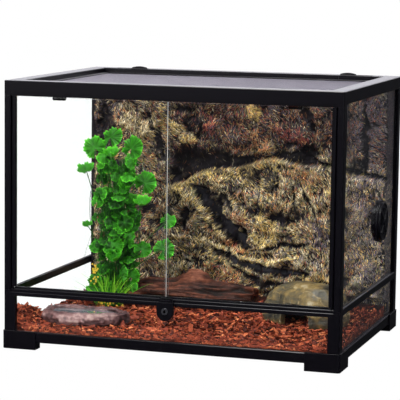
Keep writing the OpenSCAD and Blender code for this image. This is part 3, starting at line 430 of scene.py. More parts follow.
def dressed(name, material, width=0.0004):
    """A copy of a CAD node with its edges bevelled, standing for it."""
    src = nodes[name]
    me = src.data.copy()
    bm = bmesh.new()
    bm.from_mesh(me)
    bmesh.ops.remove_doubles(bm, verts=bm.verts, dist=2e-6)
    bmesh.ops.dissolve_limit(bm, angle_limit=math.radians(1.5), verts=bm.verts, edges=bm.edges)
    for face in bm.faces:
        face.smooth = True
    bm.to_mesh(me)
    bm.free()
    o = linked(name + "_look", me)
    wear(o, material)
    bevel = o.modifiers.new("edges", "BEVEL")
    bevel.width = width
    bevel.segments = 2
    bevel.limit_method = "ANGLE"
    bevel.angle_limit = math.radians(35)
    bevel.harden_normals = True
    o.modifiers.new("normals", "WEIGHTED_NORMAL").keep_sharp = True
    belongs(o, src["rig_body"], name)


CORNERS = ("front_left", "front_right", "rear_left", "rear_right")
FRAME_NODES = [
    "bottom_frame", *["foot_" + c for c in CORNERS], *["lower_post_" + c for c in CORNERS],
    *["mid_rail_" + s for s in ("front", "rear", "left", "right")], *["upper_post_" + c for c in CORNERS],
    "top_frame", "door_header", "left_door_stile", "right_door_stile", "latch_housing", "latch_bolt",
    "lid_frame", "lid_clip_left", "lid_clip_right", "inlet_block_left", "inlet_block_right",
    "inlet_gate_left", "inlet_gate_right", "port_flange", "port_nut",
]
for name in FRAME_NODES:
    dressed(name, BLACK)
dressed("port_shutter", BLACK_SOFT)
dressed("latch_knob", METAL, width=0.0003)

for name, cad_node in nodes.items():
    if "glass" in name:
        wear(cad_node, DOOR_GLASS.get(name, GLASS))
wear(nodes["left_door_seal"], seal_material())


# -------- lid mesh

def lid_wires():
    """Fine wires in two layers, those along the depth above those along the width."""
    pitch, half = 1.55, 0.21
    thick = half * 1.2 / math.sqrt(2)
    lo, hi = [np.array(corner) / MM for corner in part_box("lid_mesh")]
    bar = shape(lambda bm: bmesh.ops.create_cube(bm, size=2))
    wires = Cluster()
    for run, across, level in ((1, 0, 0.8), (0, 1, -0.8)):
        count = int((hi[across] - lo[across]) / pitch)
        size = np.full(3, thick)
        size[run] = (hi[run] - lo[run]) / 2
        middle = (lo + hi) / 2
        middle[2] += level * half
        for k in range(count + 1):
            middle[across] = lo[across] + 2 * half + k * (hi[across] - lo[across] - 4 * half) / count
            wires.add(bar, corners(bar) * size + middle)
    belongs(wires.build("lid_wire", WIRE, False), "lid", "lid_mesh")


lid_wires()


# -------- rock background

ROCK_LO, ROCK_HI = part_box("rock_background")
BACK = ROCK_HI.y / MM
ROCK_DEEP = (ROCK_HI.y - ROCK_LO.y) / MM
ROCK_BASE = 26.0  # mm from the back to the ground of the relief

# Lines on the relief, as (x, z) in mm.
LEDGE = [
    (-138, 250), (-101, 261), (-80, 276), (-54, 285), (-24, 290), (6, 293), (35, 303), (60, 311),
    (84, 311), (107, 306), (158, 305), (181, 302), (262, 286), (300, 282),
]
# Height of the shadow over the ledge, as (x, height) in mm.
OVERHANG = [(-150, 80), (-104, 72), (-45, 46), (6, 28), (35, 18), (75, 18), (123, 30), (172, 12), (300, 12)]
GULLY = [(-81, 256), (-65, 246), (-45, 222), (-24, 192), (-4, 172), (10, 157), (24, 141)]
CRACK = [(-48, 137), (-20, 127), (9, 115), (42, 103), (76, 98), (111, 96), (150, 98)]

STRAW, TAN, OLIVE, ORANGE, RED, GREY, COAL, CREAM, VIOLET = range(9)
PALETTE = np.array([
    (0.70, 0.50, 0.16), (0.42, 0.31, 0.16), (0.17, 0.17, 0.09), (0.55, 0.22, 0.085), (0.34, 0.08, 0.065),
    (0.25, 0.22, 0.21), (0.05, 0.04, 0.052), (0.80, 0.69, 0.46), (0.17, 0.135, 0.19),
])
# How likely each paint is below the ledge, above it, and at the left.
BELOW_MIX = (0.55, 0.8, 0.9, 0.35, 0.04, 0.4, 0.4, 0.4, 0.25)
ABOVE_MIX = (0.1, 0.35, 0.25, 0.55, 0.5, 0.5, 0.9, 0.12, 0.4)
LEFT_MIX = (0.35, 0.9, 0.3, 0.4, 0.2, 0.4, 0.6, 0.5, 0.35)

# Each fold: its line in mm, half width, push out, painted shadow (below zero, painted light), and the paints
# that it favours.
FOLDS = [
    (GULLY, 15, -16, 1.1, {VIOLET: 1}),
    ([(-29, 247), (-15, 231), (1, 209)], 4, -5, 0.8, {}),
    (CRACK, 7.5, -9, 1.0, {VIOLET: 0.5}),
    ([(32, 135), (71, 142), (97, 153), (122, 148), (149, 156)], 4.5, -9, 1.0, {}),
    ([(37, 203), (55, 200), (69, 180), (76, 161), (51, 150), (39, 174)], 14, 9, -0.6, {STRAW: 6, CREAM: 2}),
    ([(-5, 199), (13, 198), (25, 181)], 9, 4, -0.4, {RED: 1.5, ORANGE: 2}),
    ([(-28, 159), (-12, 146), (8, 134), (22, 131)], 4, 2, -0.5, {ORANGE: 10, RED: 3}),
    (
        [(-130, 250), (-105, 244), (-83, 230), (-64, 212), (-46, 192), (-34, 171), (-20, 157)], 8, 6, -0.5,
        {STRAW: 4, CREAM: 3},
    ),
    ([(-95, 215), (-97, 190), (-100, 163)], 6, -7, 0.9, {}),
    (
        [(-133, 157), (-92, 155), (-64, 149), (-28, 137), (8, 124), (36, 115), (78, 117), (126, 128)], 6, 6,
        -0.5, {STRAW: 3, CREAM: 3},
    ),
    ([(53, 282), (56, 252), (58, 221)], 5, 4, -0.3, {CREAM: 4, STRAW: 4}),
    ([(143, 263), (155, 234), (165, 211)], 6, 4, -0.3, {CREAM: 3, TAN: 4}),
    ([(116, 266), (118, 236), (123, 213)], 3.5, -6, 0.9, {}),
    ([(131, 270), (149, 237), (164, 208)], 3.5, -6, 0.9, {}),
    ([(86, 284), (85, 242)], 3, -4, 0.6, {}),
    ([(62, 200), (88, 198), (117, 196)], 6, -6, 0.8, {VIOLET: 2}),
    ([(79, 176), (106, 182), (133, 187), (152, 188), (157, 169)], 10, 6, -0.4, {TAN: 2, CREAM: 2, ORANGE: 1}),
    ([(100, 292), (135, 290), (170, 284)], 14, 2, -0.3, {ORANGE: 3, TAN: 2}),
    ([(160, 196), (170, 172), (176, 148)], 12, -3, 0.2, {VIOLET: 5, GREY: 2}),
    ([(-139, 377), (-119, 364), (-99, 348), (-82, 339)], 9, 8, -0.6, {STRAW: 6, CREAM: 3}),
    ([(20, 409), (35, 401), (42, 386)], 11, 5, -0.6, {STRAW: 9}),
    ([(-71, 357), (-55, 369), (-43, 381)], 10, 4, -0.2, {RED: 6}),
    ([(79, 372), (102, 360), (130, 349), (157, 339)], 11, 3, -0.1, {RED: 5, COAL: 2}),
    ([(24, 360), (40, 346), (56, 331), (72, 317)], 17, 6, -0.4, {ORANGE: 4, TAN: 3}),
    ([(119, 330), (142, 331), (161, 328)], 9, -7, 1.0, {}),
    ([(121, 417), (144, 395), (156, 369)], 8, -5, 0.8, {}),
    ([(-83, 402), (-123, 397)], 8, -6, 0.8, {}),
    ([(-228, 377), (-204, 371), (-179, 360), (-163, 345)], 20, 5, -0.4, {TAN: 3, CREAM: 2.5}),
    ([(-176, 391), (-158, 345), (-146, 310)], 9, -6, 0.9, {}),
    ([(-272, 415), (-262, 360), (-276, 310)], 18, -4, 0.6, {VIOLET: 2}),
    ([(5, 99), (53, 71), (108, 75)], 7, -5, 0.8, {VIOLET: 1}),
    ([(-61, 107), (-21, 84), (9, 57)], 14, 4, -0.2, {ORANGE: 3, RED: 1}),
    ([(250, 420), (252, 340), (250, 296)], 7, -12, 1.0, {}),
]


def band(a, b, c, d, t):
    """Rises from a to b and falls from c to d."""
    return smooth(a, b, t) * (1 - smooth(c, d, t))


def along(x, line):
    return np.interp(x, [p[0] for p in line], [p[1] for p in line])


def sin_deg(a):
    return np.sin(np.radians(a))


def plateau(x, z, line, half):
    """One on a band along a line, with tapered ends and an uneven edge, and zero away from it."""
    distance, t = line_distance(x, z, line)
    taper = 0.35 + 0.65 * smooth(0, 0.35, t) * smooth(1, 0.8, t)
    half = half * taper * (1 + 0.6 * vnoise(x / 9, z / 9, half, 66))
    return np.exp(-(distance / half) ** 4)


def rock_relief(x, z):
    """Depth in mm, painted shadow and painted light, paint weights, dimness and the floor of the gully and the
    crack, from x and z in mm.
    """
    px = x + 3 * fbm(x / 16, z / 16, 3.1, 3, 11) + 1.5 * fbm(x / 6, z / 6, 1.0, 2, 12)
    pz = z + 3 * fbm(x / 16, z / 16, 9.7, 3, 13) + 1.5 * fbm(x / 6, z / 6, 5.0, 2, 14)
    edge = along(px, LEDGE)
    tall = along(px, OVERHANG)
    reach = smooth(-145, -110, px)
    below = smooth(edge + 4, edge - 4, pz) * smooth(edge - 150, edge - 60, pz) * reach
    over = band(edge - 1, edge + 4, edge + tall * 0.55, edge + tall, pz) * reach
    above = smooth(edge + 10, edge + 40, pz) * smooth(-165, -100, px)
    left = smooth(-120, -165, px)
    crest = band(edge - 26, edge - 10, edge - 2, edge + 2, pz) * reach * smooth(110, 70, px)
    lumps = 5 * sin_deg(x * 4.1 + z * 2.3) * np.cos(np.radians(z * 5.2 - x * 1.7))
    lumps = lumps + 3 * sin_deg(x * 8.3 - z * 5.9 + 50)
    rough = fbm(px / 34, pz / 26, 2.0, 3, 21)
    seam = np.exp(-(fbm(px / 30, pz / 40, 7.0, 3, 22) / 0.05) ** 2)
    depth = 16 + 22 * smooth(40, 280, x) + 14 * below - 13 * over + lumps + 7 * rough - 4 * seam
    # dark is painted shadow: in the band over the ledge, in the seams and in the low places of the rough.
    dark = (0.82 + 0.5 * fbm(px / 14, pz / 14, 3.0, 2, 36)) * over + 0.6 * seam
    dark = dark + 0.5 * smooth(0.1, 0.45, -rough)
    mixes = [np.asarray(m)[:, None, None] for m in (BELOW_MIX, ABOVE_MIX, LEFT_MIX)]
    paints = mixes[0] * (1 - above) * (1 - left) + mixes[1] * above * (1 - left) + mixes[2] * left
    for k in range(len(PALETTE)):
        paints[k] = paints[k] * np.exp(1.5 * fbm(px / 24, pz / 22, 2.0 * k, 2, 50 + k))
    paints[STRAW] += 2.6 * crest
    paints[CREAM] += 0.8 * crest
    right_end = smooth(205, 255, px)
    paints[VIOLET] += 2.4 * right_end
    paints[GREY] += 1.6 * right_end
    lift = np.zeros_like(x)
    # Each fold adds its painted shadow, which is painted light where it is below zero; lift marks the folds
    # with painted light.
    for line, half, push, shadow, favours in FOLDS:
        m = plateau(px, pz, line, half)
        depth = depth + push * m
        dark = dark + shadow * m
        lift = np.maximum(lift, m * (shadow < 0))
        for k, weight in favours.items():
            paints[k] += weight * m
    floor = np.maximum(plateau(px, pz, GULLY, 9), plateau(px, pz, CRACK, 4))
    # dim darkens the paint above the ledge, less on the folds with painted light, and goes below zero near the
    # foot and at the right end.
    dim = above * (0.9 + 0.7 * fbm(px / 40, pz / 30, 3, 2, 34)) - 0.8 * lift
    dim = np.clip(dim, 0, 1) - 0.45 * smooth(170, 110, pz) - 1.1 * smooth(205, 245, px)
    return depth, np.clip(dark, 0, 1), paints, dim, floor


def strands(x, z):
    """Short fibres, as of moulded root or straw, in a few leaning directions."""
    which = fbm(x / 55, z / 48, 3.0, 2, 41) * 1.6 + 0.5
    which = which + 0.5 * smooth(110, 180, x) * smooth(320, 290, z)
    out = np.zeros_like(x)
    total = np.zeros_like(x)
    leans = [(-38, 0.0, 42), (12, 0.5, 43), (42, 1.0, 44), (78, 1.5, 45)]
    for lean, centre, seed in leans:
        a = math.radians(lean)
        u = x * math.cos(a) + z * math.sin(a) + 3.2 * fbm(x / 16, z / 16, seed, 2, seed + 5)
        v = -x * math.sin(a) + z * math.cos(a)
        fibre = 1 - np.abs(vnoise(u / 3.0, v / 11.0, 0.5, seed)) * 2.2
        fine = 1 - np.abs(vnoise(u / 1.7, v / 7.0, 2.5, seed + 9)) * 2.0
        weight = np.exp(-((which - centre) / 0.36) ** 2) + 1e-4
        out += weight * (0.62 * fibre + 0.38 * fine)
        total += weight
    return out / total


def rock_surface(x, z):
    """The relief with its fibres, drawn back at its left edge and at its foot."""
    depth, dark, paints, dim, floor = rock_relief(x, z)
    fibres = strands(x, z)
    d = ROCK_BASE + depth + 1.5 * fibres * (1 - 0.5 * dark)
    side = smooth(-291, -276, x)
    d = d * side + 40 * (1 - side)
    # The drawn-back strip at the left edge is painted full shadow.
    dark = np.clip(dark + 1 - smooth(-290, -282, x), 0, 1)
    foot = smooth(50, 66, z)
    d = d * foot + (ROCK_BASE + 1.2 * fibres) * (1 - foot)
    return np.clip(d, ROCK_BASE - 3, ROCK_DEEP - 0.2), dark, paints, dim, floor


def rock_paint():
    """Matt paint whose colour is kept in the mesh, with fine grain."""
    m, nt, out = new_material("rock_paint")
    grain = placed(nt, SURFACE_GRAIN, Scale=700, Detail=3)["Grain"]
    color = placed(
        nt, GRAIN_TINT_AND_SHADE, Color=attribute(nt, "paint", "Color"), Grain=grain, Low=0.3, High=0.7,
        Hollow=(0.62, 0.62, 0.62), Top=(1.25, 1.25, 1.25),
    )["Color"]
    surface(nt, out, Base_Color=color, Roughness=0.62, Specular_IOR_Level=0.15)
    return m


def pick_paint(paints, dark, dim, r):
    """A colour for each place, by chance from its paint weights, darkened by the painted shadow and by the
    dimness.
    """
    total = np.cumsum(paints, axis=0)
    u = r.random(dark.shape) * total[-1]
    k = np.minimum((u[None] > total).sum(axis=0), len(PALETTE) - 1)
    tone = r.uniform(0.3, 1.4, dark.shape) * (1 - 0.78 * dark) * (1 - 0.42 * dim)
    return PALETTE[k] * tone[..., None]


def blurred(a, reach):
    """Mean over a square of 2 reach + 1 samples."""
    for axis in (0, 1):
        pad = [(0, 0), (0, 0)]
        pad[axis] = (reach + 1, reach)
        c = np.cumsum(np.pad(a, pad, mode="edge"), axis=axis)
        n = a.shape[axis]
        hi = np.take(c, np.arange(n) + 2 * reach + 1, axis=axis)
        lo = np.take(c, np.arange(n), axis=axis)
        a = (hi - lo) / (2 * reach + 1)
    return a


def straws(xs, zs, depth, dark, paints, dim, material):
    """Moulded straw over the relief: short ribs that lie on it, each with a colour of its own."""
    r = np.random.default_rng(77)
    n = 48000
    x0, z0, dx, dz = xs[0], zs[0], xs[1] - xs[0], zs[1] - zs[0]

    def sample(values, x, z):
        u = np.clip((x - x0) / dx, 0, values.shape[1] - 1.001)
        v = np.clip((z - z0) / dz, 0, values.shape[0] - 1.001)
        i, j = u.astype(int), v.astype(int)
        a, b = u - i, v - j
        return (
            values[j, i] * (1 - a) * (1 - b) + values[j, i + 1] * a * (1 - b)
            + values[j + 1, i] * (1 - a) * b + values[j + 1, i + 1] * a * b
        )

    # where the ribs lie: few of them in the dark hollows
    cx, cz = r.uniform(xs[0] + 3, xs[-1] - 3, n), r.uniform(38, zs[-1] - 3, n)
    keep = r.random(n) > 0.93 * smooth(0.15, 0.6, sample(dark, cx, cz))
    cx, cz = cx[keep], cz[keep]
    n = len(cx)
    dark, dim = [sample(m, cx, cz) for m in (dark, dim)]
    paints = np.stack([sample(m, cx, cz) for m in paints])

    # which way they lean: in drifts, drawn towards the slope where it is steep, upright at the right
    slope_z, slope_x = np.gradient(blurred(blurred(depth, 3), 3), dz, dx)
    slope_x, slope_z = [sample(m, cx, cz) for m in (slope_x, slope_z)]
    flow = 1.5 * fbm(cx / 62, cz / 52, 2.0, 2, 91) + 0.35 * np.sign(vnoise(cx / 19, cz / 19, 4.0, 92))
    upright = smooth(110, 180, cx) * smooth(322, 290, cz)
    flow = flow * (1 - 0.75 * upright)
    steep = np.hypot(slope_x, slope_z)
    pull = 0.45 * smooth(0.15, 0.8, steep)
    same = np.where(slope_x * np.sin(flow) + slope_z * np.cos(flow) < 0, -1, 1) / np.maximum(steep, 1e-6)
    lean = np.arctan2(
        np.sin(flow) * (1 - pull) + slope_x * same * pull, np.cos(flow) * (1 - pull) + slope_z * same * pull,
    ) + r.normal(0, 0.4, n) * (1 - 0.4 * np.maximum(upright, pull))

    # each rib: four places along it, bent to one side, and three across, the middle one raised
    length = r.uniform(4, 9.5, n)[:, None]
    half = r.uniform(0.4, 0.85, n)[:, None]
    bend = r.normal(0, 1.3, n)[:, None]
    t = np.array([-0.5, -0.18, 0.18, 0.5])
    taper = np.array([0.35, 1.0, 1.0, 0.35])
    sin, cos = np.sin(lean)[:, None], np.cos(lean)[:, None]
    aside = bend * (0.25 - t * t) * 2
    px, pz = cx[:, None] + length * t * sin + aside * cos, cz[:, None] + length * t * cos - aside * sin
    side_x, side_z = cos * half * taper, -sin * half * taper
    rise = np.array([0.0, 0.95, 0.95, 0.0]) * r.uniform(0.6, 1.25, n)[:, None]
    across = []
    for k, lift in ((-1, -0.35), (0, 0.25), (1, -0.35)):
        qx = np.clip(px + k * side_x, xs[0], xs[-1])
        qz = np.clip(pz + k * side_z, zs[0], zs[-1])
        d = sample(depth, qx, qz) + lift + (rise if k == 0 else rise * 0.25)
        across.append(np.stack([qx, BACK - np.minimum(d, ROCK_DEEP - 0.05), qz], -1))
    places = np.stack(across, axis=2).reshape(n, -1, 3)
    paint = pick_paint(paints, dark, dim, r)
    rib = grid(2, 3)
    for part in range(3):
        ribs = Cluster()
        for k in range(part, n, 3):
            ribs.add(rib, places[k], np.tile(paint[k], (len(places[k]), 1)))
        belongs(ribs.build(f"rock_straw_{part + 1}", material, key="paint"))


def ground_paint(dark, paints, dim, floor, convex, x, z):
    """Colour of the relief under the straw: near black and darker still in the painted shadow, with patches of
    paint on what stands out that fade in the painted shadow.
    """
    r = np.random.default_rng(78)
    base = np.array([0.017, 0.0125, 0.018]) * (1 - 0.5 * dark)[..., None]
    base = base + floor[..., None] * np.array([0.016, 0.0165, 0.021])
    light = pick_paint(paints, dark, dim, r) * 0.5
    patch = smooth(-0.1, 0.9, convex + 0.5 * fbm(x / 3.2, z / 3.2, 1.0, 2, 95))
    patch = (patch * (1 - 0.85 * dark) * (1 - 0.5 * dim))[..., None]
    return base * (1 - patch) + light * patch


def rock():
    material = rock_paint()
    x0, x1 = ROCK_LO.x / MM + 0.1, ROCK_HI.x / MM - 0.1
    z0, z1 = ROCK_LO.z / MM + 0.1, ROCK_HI.z / MM - 0.1
    step = 1.5
    nx, nz = int((x1 - x0) / step), int((z1 - z0) / step)
    xs, zs = np.linspace(x0, x1, nx), np.linspace(z0, z1, nz)
    X, Z = np.meshgrid(xs, zs)
    depth, dark, paints, dim, floor = rock_surface(X, Z)
    convex = np.clip((depth - blurred(depth, 6)) / 2.2 + (depth - blurred(depth, 2)) / 1.2, -1.2, 1.2)
    paint = ground_paint(dark, paints, dim, floor, convex, X, Z)
    Y = BACK - depth
    face = np.stack([X, Y, Z], axis=-1)
    cut = nx // 2
    for k, (a, b) in enumerate(((0, cut + 1), (cut, nx))):
        o = sheet(f"rock_face_{k + 1}", face[:, a:b], material, paint=paint[:, a:b].reshape(-1, 3))
        belongs(o, stands_for=None if k else "rock_background")
    straws(xs, zs, depth, dark, paints, dim, material)

    for end, x, column in (("left", x0, 0), ("right", x1, nx - 1)):
        t = np.linspace(0, 1, 25)
        y = Y[:, column, None] * (1 - t) + BACK * t
        z = np.broadcast_to(Z[:, column, None], y.shape)
        _, dark, paints, dim, floor = rock_relief(x + y * 0.4, z)
        fibres = strands(y * 0.7 + 400, z) * 0.5
        # The sides take a milder, even painted shadow, and are made twice as bright.
        paint = 2 * ground_paint(dark * 0.4 + 0.3, paints, dim, floor, fibres, y, z)
        side = np.stack([np.full(y.shape, x), y, z], -1)
        o = sheet(f"rock_side_{end}", side, material, flip=end == "left", paint=paint.reshape(-1, 3))
        belongs(o)

    # the flat back, and the strips that join it to the top and the bottom of the face
    back = Cluster()
    back.add(grid(1, 1), np.array([(x1, BACK, z0), (x0, BACK, z0), (x1, BACK, z1), (x0, BACK, z1)]))
    strip = grid(nx - 1, 1)
    for row, order in ((0, -1), (nz - 1, 1)):
        rim = face[row]
        wall = np.column_stack([rim[:, 0], np.full(nx, BACK), rim[:, 2]])
        back.add(strip, np.concatenate([rim, wall][::order]))
    belongs(back.build("rock_back", BLACK_SOFT, False))


rock()


# -------- bark chips

SOIL_LO, SOIL_HI = [np.array(corner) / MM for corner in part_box("bark_substrate")]


def heap(x, y):
    """Height in mm of two loose heaps of chips beside the dish."""
    first = 15 * np.exp(-((x + 272) / 16) ** 2 - ((y + 165) / 40) ** 2)
    second = 9 * np.exp(-((x + 222) / 26) ** 2 - ((y + 72) / 24) ** 2)
    return first + second


def soil_height(x, y):
    """Height in mm of the bed, which rises at the front left corner and at the rear."""
    left = 1 - smooth(4, 30, x + 292.3)
    front = 1 - smooth(20, 90, y + 217.3)
    rear = smooth(120, 175, y)
    rough = sin_deg(x * 9) * np.cos(np.radians(y * 11)) + sin_deg(x * 4 + y * 5)
    return 40 + 24 * left * front + (9 + 1.5 * rough) * rear + heap(x, y)


def bark_material():
    m, nt, out = new_material("bark_chip")
    grain = placed(
        nt, SURFACE_GRAIN, Scale=420, Detail=4, Roughness=0.65, Distortion=0.4, Strength=0.5, Distance=0.0008,
    )
    color = ramp(nt, attribute(nt, "tone", "Fac"), [
        (0.0, (0.015, 0.004, 0.003)), (0.25, (0.08, 0.015, 0.009)), (0.5, (0.27, 0.05, 0.024)),
        (0.75, (0.52, 0.12, 0.05)), (1.0, (0.9, 0.34, 0.14)),
    ])
    # The hollows of the raised grain take painted shade, and its tops a little painted light.
    color = placed(
        nt, GRAIN_TINT_AND_SHADE, Color=color, Grain=grain["Grain"], Low=0.3, High=0.65, Hollow=(0.45, 0.42, 0.4),
        Top=(1.05, 1.0, 1.0),
    )["Color"]
    surface(nt, out, Base_Color=color, Roughness=0.55, Specular_IOR_Level=0.15, Normal=grain["Normal"])
    return m


def raised_slab(bm):
    """Two squares side by side, made a slab."""
    bmesh.ops.create_grid(bm, x_segments=2, y_segments=1, size=1)
    top = bmesh.ops.extrude_face_region(bm, geom=bm.faces[:])["geom"]
    bmesh.ops.translate(bm, verts=[v for v in top if isinstance(v, bmesh.types.BMVert)], vec=(0, 0, 1))
    bmesh.ops.recalc_face_normals(bm, faces=bm.faces[:])


CHIP = shape(raised_slab)
CHIP_RIM = [(-1, -1), (0, -1), (1, -1), (1, 1), (0, 1), (-1, 1)]
CHIP_ORDER = [CHIP_RIM.index((x, y)) + 6 * (1 - z) for x, y, z in corners(CHIP).round().astype(int).tolist()]


def chip_corners(length, width, thick, r):
    """Corners of an uneven flat chip with pointed ends, narrower below."""
    a, b = length / 2, width / 2
    taper = r.uniform(0.25, 0.8, 2)
    skew = r.uniform(-0.25, 0.25, 2) * b
    rim = np.array([
        (-a, -b * taper[0] + skew[0]), (0, -b), (a, -b * taper[1] + skew[1]),
        (a * 0.82, b * taper[1]), (0, b), (-a * 0.86, b * taper[0]),
    ])
    height = thick * (np.repeat([0.5, -0.5], 6) + r.uniform(-0.18, 0.18, 12))
    return np.column_stack([np.concatenate([rim, rim * 0.86]), height])[CHIP_ORDER]


def bark():
    material = bark_material()
    x0, y0, low = SOIL_LO
    x1, y1, _ = SOIL_HI
    inset = 4  # mm from the bed's sides to the panes, filled by chips
    X, Y = np.meshgrid(np.arange(x0, x1 + 0.1, 5), np.arange(y0, y1 + 0.1, 5))
    Z = soil_height(X, Y) - 3.5
    X[:, -1], Y[-1, :] = x1, y1
    X, Y = np.clip(X, x0 + inset, x1 - inset), np.maximum(Y, y0 + inset)
    bed = np.stack([
        np.pad(X, 1, mode="edge"), np.pad(Y, 1, mode="edge"), np.pad(Z, 1, constant_values=low + 0.2),
    ], -1)
    # The bed is near black: bark colour darkened into a painted shade for the gaps between the chips.
    o = sheet("bark_bed", bed, material, tone=np.full(bed[..., 0].size, 0.06))
    belongs(o, stands_for="bark_substrate")

    r = np.random.default_rng(23)
    count = 12500
    parts = [Cluster(), Cluster(), Cluster()]
    dish_lo, dish_hi = [np.array(corner)[:2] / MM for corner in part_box("water_dish")]

    near, far = (x0 + 0.4, y0 + 0.3, low + 0.5), (x1 - 0.4, y1 - 0.5, np.inf)

    def lay(n, chip, tone):
        parts[n % 3].add(CHIP, np.clip(chip, near, far), tone)

    for n in range(count):
        edge = r.random() < 0.22
        x = r.uniform(x0 + 6, x1 - 6)
        y = y0 + 3 + 14 * r.random() if edge else r.uniform(y0 + 5, min(y1 - 4, 150))
        if r.random() < 0.12:
            x, y = r.uniform(x0 + 5, x0 + 50), r.uniform(y0 + 5, y0 + 90)
        dx, dy = ((x, y) - (dish_lo + dish_hi) / 2) / ((dish_hi - dish_lo) / 2)
        if dx * dx + dy * dy < 0.82:
            continue
        big = r.random() < 0.3
        length = r.uniform(11, 24) if big else r.uniform(5, 13)
        width = length * r.uniform(0.22, 0.5)
        thick = r.uniform(1.2, 3.0)
        chip = chip_corners(length, width, thick, r)
        yaw, pitch, roll = r.uniform(0, 2 * math.pi), r.normal(0, 0.3), r.normal(0, 0.35)
        if r.random() < 0.06:
            pitch = r.uniform(-1.1, 1.1)
        turn = Matrix.Rotation(yaw, 3, "Z") @ Matrix.Rotation(pitch, 3, "Y") @ Matrix.Rotation(roll, 3, "X")
        lift = r.uniform(-5.0, 2.2)
        chip = chip @ np.array(turn).T + (x, y, soil_height(x, y) + lift)
        if edge:
            chip[:, 2] -= r.uniform(0, 9) * (r.random() < 0.6)
        # Chips set lower are darker, a painted shade from the chips around and over them.
        lay(n, chip, float(np.clip(0.46 + 0.14 * lift / 5 + r.normal(0, 0.23), 0.03, 1)))

    # chips on edge against the panes
    for n in range(count // 4):
        side = ("front", "front", "left", "right")[n % 4]
        x = r.uniform(x0 + 6, x1 - 6) if side == "front" else (x0 + 2 if side == "left" else x1 - 2)
        y = y0 + 2 if side == "front" else r.uniform(y0 + 5, 160)
        z = r.uniform(low + 2, soil_height(x, y))
        length = r.uniform(6, 17)
        chip = chip_corners(length, length * r.uniform(0.25, 0.55), r.uniform(1.0, 2.2), r)
        turn = Matrix.Rotation(0 if side == "front" else math.pi / 2, 3, "Z")
        turn = turn @ Matrix.Rotation(math.pi / 2 + r.normal(0, 0.2), 3, "X")
        turn = turn @ Matrix.Rotation(r.normal(0, 0.7), 3, "Z")
        lay(n, chip @ np.array(turn).T + (x, y, z), float(np.clip(r.normal(0.44, 0.2), 0.03, 1)))
    for k, chips in enumerate(parts):
        belongs(chips.build(f"bark_chips_{k + 1}", material, False))


bark()


# -------- hide, driftwood and dish

def carved(name, relief, material, smooth_steps):
    """A fine remesh of a CAD node, pushed along its normals by relief(points), which gives a tone too."""
    src = nodes[name]
    o = linked(name + "_look", src.data.copy())
    remesh = o.modifiers.new("grid", "REMESH")
    remesh.mode = "VOXEL"
    remesh.voxel_size = 0.0016
    o.modifiers.new("soften", "SMOOTH").iterations = smooth_steps
    me = bpy.data.meshes.new_from_object(o.evaluated_get(bpy.context.evaluated_depsgraph_get()))
    o.modifiers.clear()
    o.data = me
    co, normal = np.zeros(len(me.vertices) * 3), np.zeros(len(me.vertices) * 3)
    me.vertices.foreach_get("co", co)
    me.vertices.foreach_get("normal", normal)
    co, normal = co.reshape(-1, 3), normal.reshape(-1, 3)
    push, tone = relief(co / MM)
    lo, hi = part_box(name)
    co = np.clip(co + normal * push[:, None] * MM, np.array(lo), np.array(hi))
    me.vertices.foreach_set("co", co.ravel().astype(np.float32))
    me.attributes.new("tone", "FLOAT", "POINT").data.foreach_set("value", tone.astype(np.float32))
    wear(o, material)
    me.polygons.foreach_set("use_smooth", np.full(len(me.polygons), True))
    me.update()
    belongs(o, src["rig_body"], name)


def painted(name, stops, blotch, rough, spec):
    """Paint by the tone of the relief, with blotches and fine grain."""
    m, nt, out = new_material(name)
    shade = placed(
        nt, MOTTLED_SHADE, Shade=attribute(nt, "tone", "Fac"), Scale=blotch, Detail=5, Roughness=0.62,
        Distortion=0.5, Amount=0.8,
    )["Shade"]
    grain = placed(nt, SURFACE_GRAIN, Scale=300, Detail=4, Roughness=0.6, Strength=0.4, Distance=0.001)
    surface(
        nt, out, Base_Color=ramp(nt, shade, stops), Roughness=rough, Specular_IOR_Level=spec,
        Normal=grain["Normal"],
    )
    return m


def hide_relief(p):
    x, y, z = p.T
    big = fbm(x / 30, y / 30, z / 22, 3, 61)
    layers = fbm(x / 60, y / 60, z / 5.5 + 1.2 * big, 2, 62)
    fine = fbm(x / 7, y / 7, z / 7, 3, 63)
    line = np.exp(-(np.abs(fbm(x / 40, y / 40, z / 30, 2, 64)) / 0.02) ** 2)
    push = -0.9 + 1.9 * big + 0.8 * layers + 0.6 * fine - 0.5 * line
    return push, 0.5 + 0.35 * big + 0.2 * fine + 0.3 * layers + 0.35 * line


def wood_relief(p):
    x, y, z = p.T
    u = x + 0.1 * y
    v = y * 0.9 + z * 0.6 + 4 * fbm(x / 60, y / 30, z / 30, 2, 74)
    grain = fbm(u / 60, v / 5, z / 7, 4, 71)
    grooves = -np.abs(vnoise(u / 90, v / 8, z / 9, 72))
    knots = fbm(x / 24, y / 20, z / 20, 2, 73)
    plates = 3.5 * smooth(-0.1, 0.12, fbm(u / 85, v / 30, z / 13, 2, 75)) - 2.0
    push = -1.0 + 3.2 * grain + 6.0 * grooves + 2.0 * knots + plates
    return push, 0.5 + 0.45 * grain + 0.35 * grooves + 0.12 * knots + 0.06 * plates


def dish_relief(p):
    x, y, z = p.T
    big = fbm(x / 26, y / 26, z / 14, 3, 81)
    layers = fbm(x / 70, y / 70, z / 3.4 + big, 2, 82)
    fine = fbm(x / 5, y / 5, z / 5, 3, 83)
    facets = np.abs(fbm(x / 34, y / 34, z / 18, 2, 84)) * 5.0
    push = 0.6 + 2.0 * big + 0.7 * layers + 0.8 * fine - facets
    return push, 0.5 + 0.45 * big + 0.3 * layers + 0.4 * fine - 0.05 * facets


